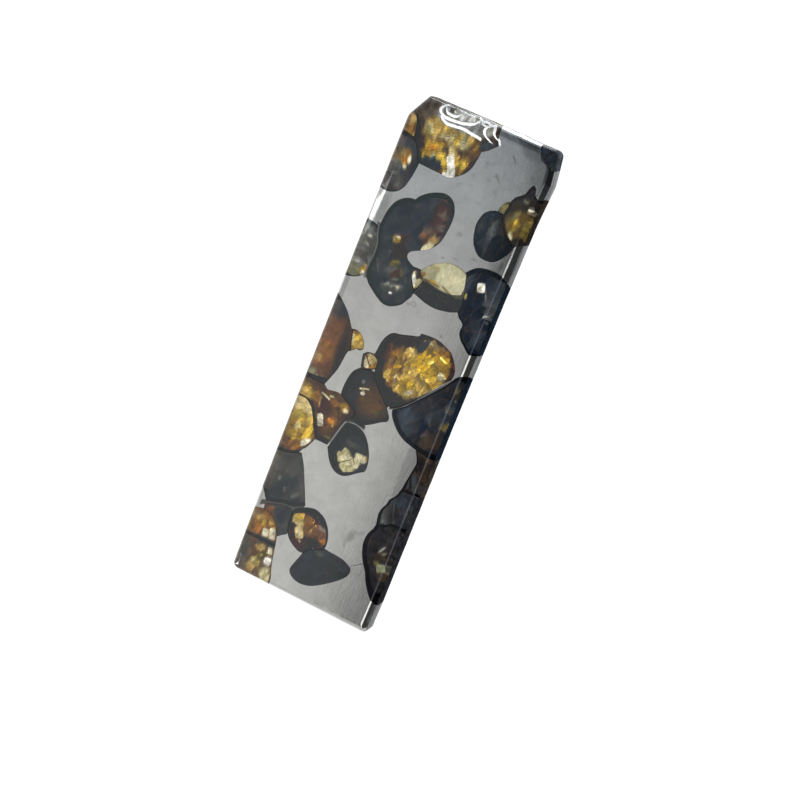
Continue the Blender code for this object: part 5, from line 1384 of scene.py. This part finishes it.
for material in SLOTS:
    bpy.data.materials.remove(material)

# Floor, just under the slice
floor_mesh = bmesh.new()
bmesh.ops.create_grid(floor_mesh, x_segments=8, y_segments=8, size=FLOOR_HALF)
floor_data = bpy.data.meshes.new("floor")
floor_mesh.to_mesh(floor_data)
floor_mesh.free()
floor = bpy.data.objects.new("floor", floor_data)
floor.location = (0.0, 0.0, -FLOOR_DROP * MM)
floor.data.materials.append(floor_material())
bpy.context.scene.collection.objects.link(floor)

# Soft light from all round, brightest beside the zenith and fading toward the right and the top
world = bpy.data.worlds.new("soft light")
world.use_nodes = True
bpy.context.scene.world = world
tree = world.node_tree
direction = tree.nodes.new("ShaderNodeTexCoord").outputs["Generated"]
parts = tree.nodes.new("ShaderNodeSeparateXYZ")
tree.links.new(direction, parts.inputs[0])


def sky_ramp(axis, low, high, to_low, to_high, kind='SMOOTHSTEP'):
    """A value that changes between two places on an axis of the sky, or of another value."""
    made = tree.nodes.new("ShaderNodeMapRange")
    made.interpolation_type = kind
    value = parts.outputs[axis] if isinstance(axis, str) else axis
    tree.links.new(value, made.inputs[0])
    for index, value in enumerate((low, high, to_low, to_high), 1):
        made.inputs[index].default_value = value
    return made.outputs[0]


def sky_product(first, second, operation='MULTIPLY'):
    """Two values multiplied, or joined by another operation."""
    made = tree.nodes.new("ShaderNodeMath")
    made.operation = operation
    tree.links.new(first, made.inputs[0])
    tree.links.new(second, made.inputs[1])
    return made.outputs[0]


# Across: even over the left, one soft edge, a narrow bright strip beside the zenith, then dark
across = sky_product(sky_ramp("X", -0.226, -0.213, 1.0, 0.3), sky_ramp("X", 0.18, 0.28, 1.0, 0.25))
across = sky_product(across, sky_ramp("X", -0.60, -0.33, 0.7, 1.0))
along = sky_product(sky_ramp("Y", -0.26, -0.09, SKY, SKY * 0.74, 'LINEAR'),
                    sky_ramp("Y", -0.085, -0.02, 1.0, 0.48))
strip = sky_product(sky_ramp("X", -0.05, -0.01, 0.0, STRIP), sky_ramp("X", 0.18, 0.25, 1.0, 0.0))
strip = sky_product(strip, sky_ramp("Y", -0.125, -0.105, 1.0, 0.0))
level = sky_product(sky_product(across, along), strip, 'ADD')
# Low down the light is even all round, but for the dark side that the right edge mirrors
off_axis = tree.nodes.new("ShaderNodeMath")
off_axis.operation = 'ABSOLUTE'
tree.links.new(sky_ramp("Y", -1.05, 0.95, -1.0, 1.0, 'LINEAR'), off_axis.inputs[0])
low = sky_product(sky_ramp("Z", 0.52, 0.66, 1.0, 0.0),
                  sky_ramp(off_axis.outputs[0], 0.28, 0.42, 0.0, 1.0))
even = tree.nodes.new("ShaderNodeMix")
tree.links.new(low, even.inputs[0])
tree.links.new(level, even.inputs[2])
even.inputs[3].default_value = EVEN_LIGHT
level = even.outputs[0]
tint = tree.nodes.new("ShaderNodeMix")
tint.data_type = 'RGBA'
tint.inputs[6].default_value = (1.0, 1.0, 0.985, 1.0)
tint.inputs[7].default_value = (0.86, 0.97, 1.08, 1.0)
tree.links.new(sky_ramp("Y", -0.2, 0.05, 0.0, 1.0), tint.inputs[0])
tree.links.new(tint.outputs[2], tree.nodes["Background"].inputs["Color"])
tree.links.new(level, tree.nodes["Background"].inputs["Strength"])


def soft_box(name, place, target, upright, width, height, radiance):
    """Rectangular lamp at a place in the outlines' coordinates, in mm, turned to a target."""
    lamp = bpy.data.lights.new(name, 'AREA')
    lamp.shape = 'RECTANGLE'
    lamp.size = width * MM
    lamp.size_y = height * MM
    lamp.energy = radiance * pi * width * height * MM * MM
    body = bpy.data.objects.new(name, lamp)
    shift = Vector((CENTRE[0], CENTRE[1], 0.0))
    body.location = (Vector(place) - shift) * MM
    behind = (Vector(place) - Vector(target)).normalized()
    side = Vector(upright).cross(behind).normalized()
    rotation = Matrix((side, behind.cross(side), behind)).transposed()
    body.rotation_mode = 'QUATERNION'
    body.rotation_quaternion = rotation.to_quaternion()
    body.visible_camera = False
    bpy.context.scene.collection.objects.link(body)


for lamp in SOFT_BOXES:
    soft_box(*lamp)

# Camera at the photograph's angle
away = Vector((*(tan(radians(angle)) for angle in CAMERA_TILT), 1.0)).normalized()
along = Vector((0.0, 1.0, 0.0))
along = (along - away * along.dot(away)).normalized()
across = (-away).cross(along)
turn = radians(CAMERA_ROLL)
camera_up = along * cos(turn) - across * sin(turn)
camera_right = along * sin(turn) + across * cos(turn)
camera_data = bpy.data.cameras.new("camera")
camera_data.sensor_width = SENSOR_WIDTH
camera_data.lens = SENSOR_WIDTH * FOCAL_PIXELS / PICTURE_WIDTH
camera_data.clip_start = 0.005
camera_data.clip_end = 20.0
camera = bpy.data.objects.new("camera", camera_data)
rotation = Matrix((camera_right, camera_up, away)).transposed()
camera.matrix_world = Matrix.Translation(Vector(CAMERA) * MM) @ rotation.to_4x4()
bpy.context.scene.collection.objects.link(camera)
bpy.context.scene.camera = camera
bpy.context.scene.view_settings.view_transform = 'Standard'
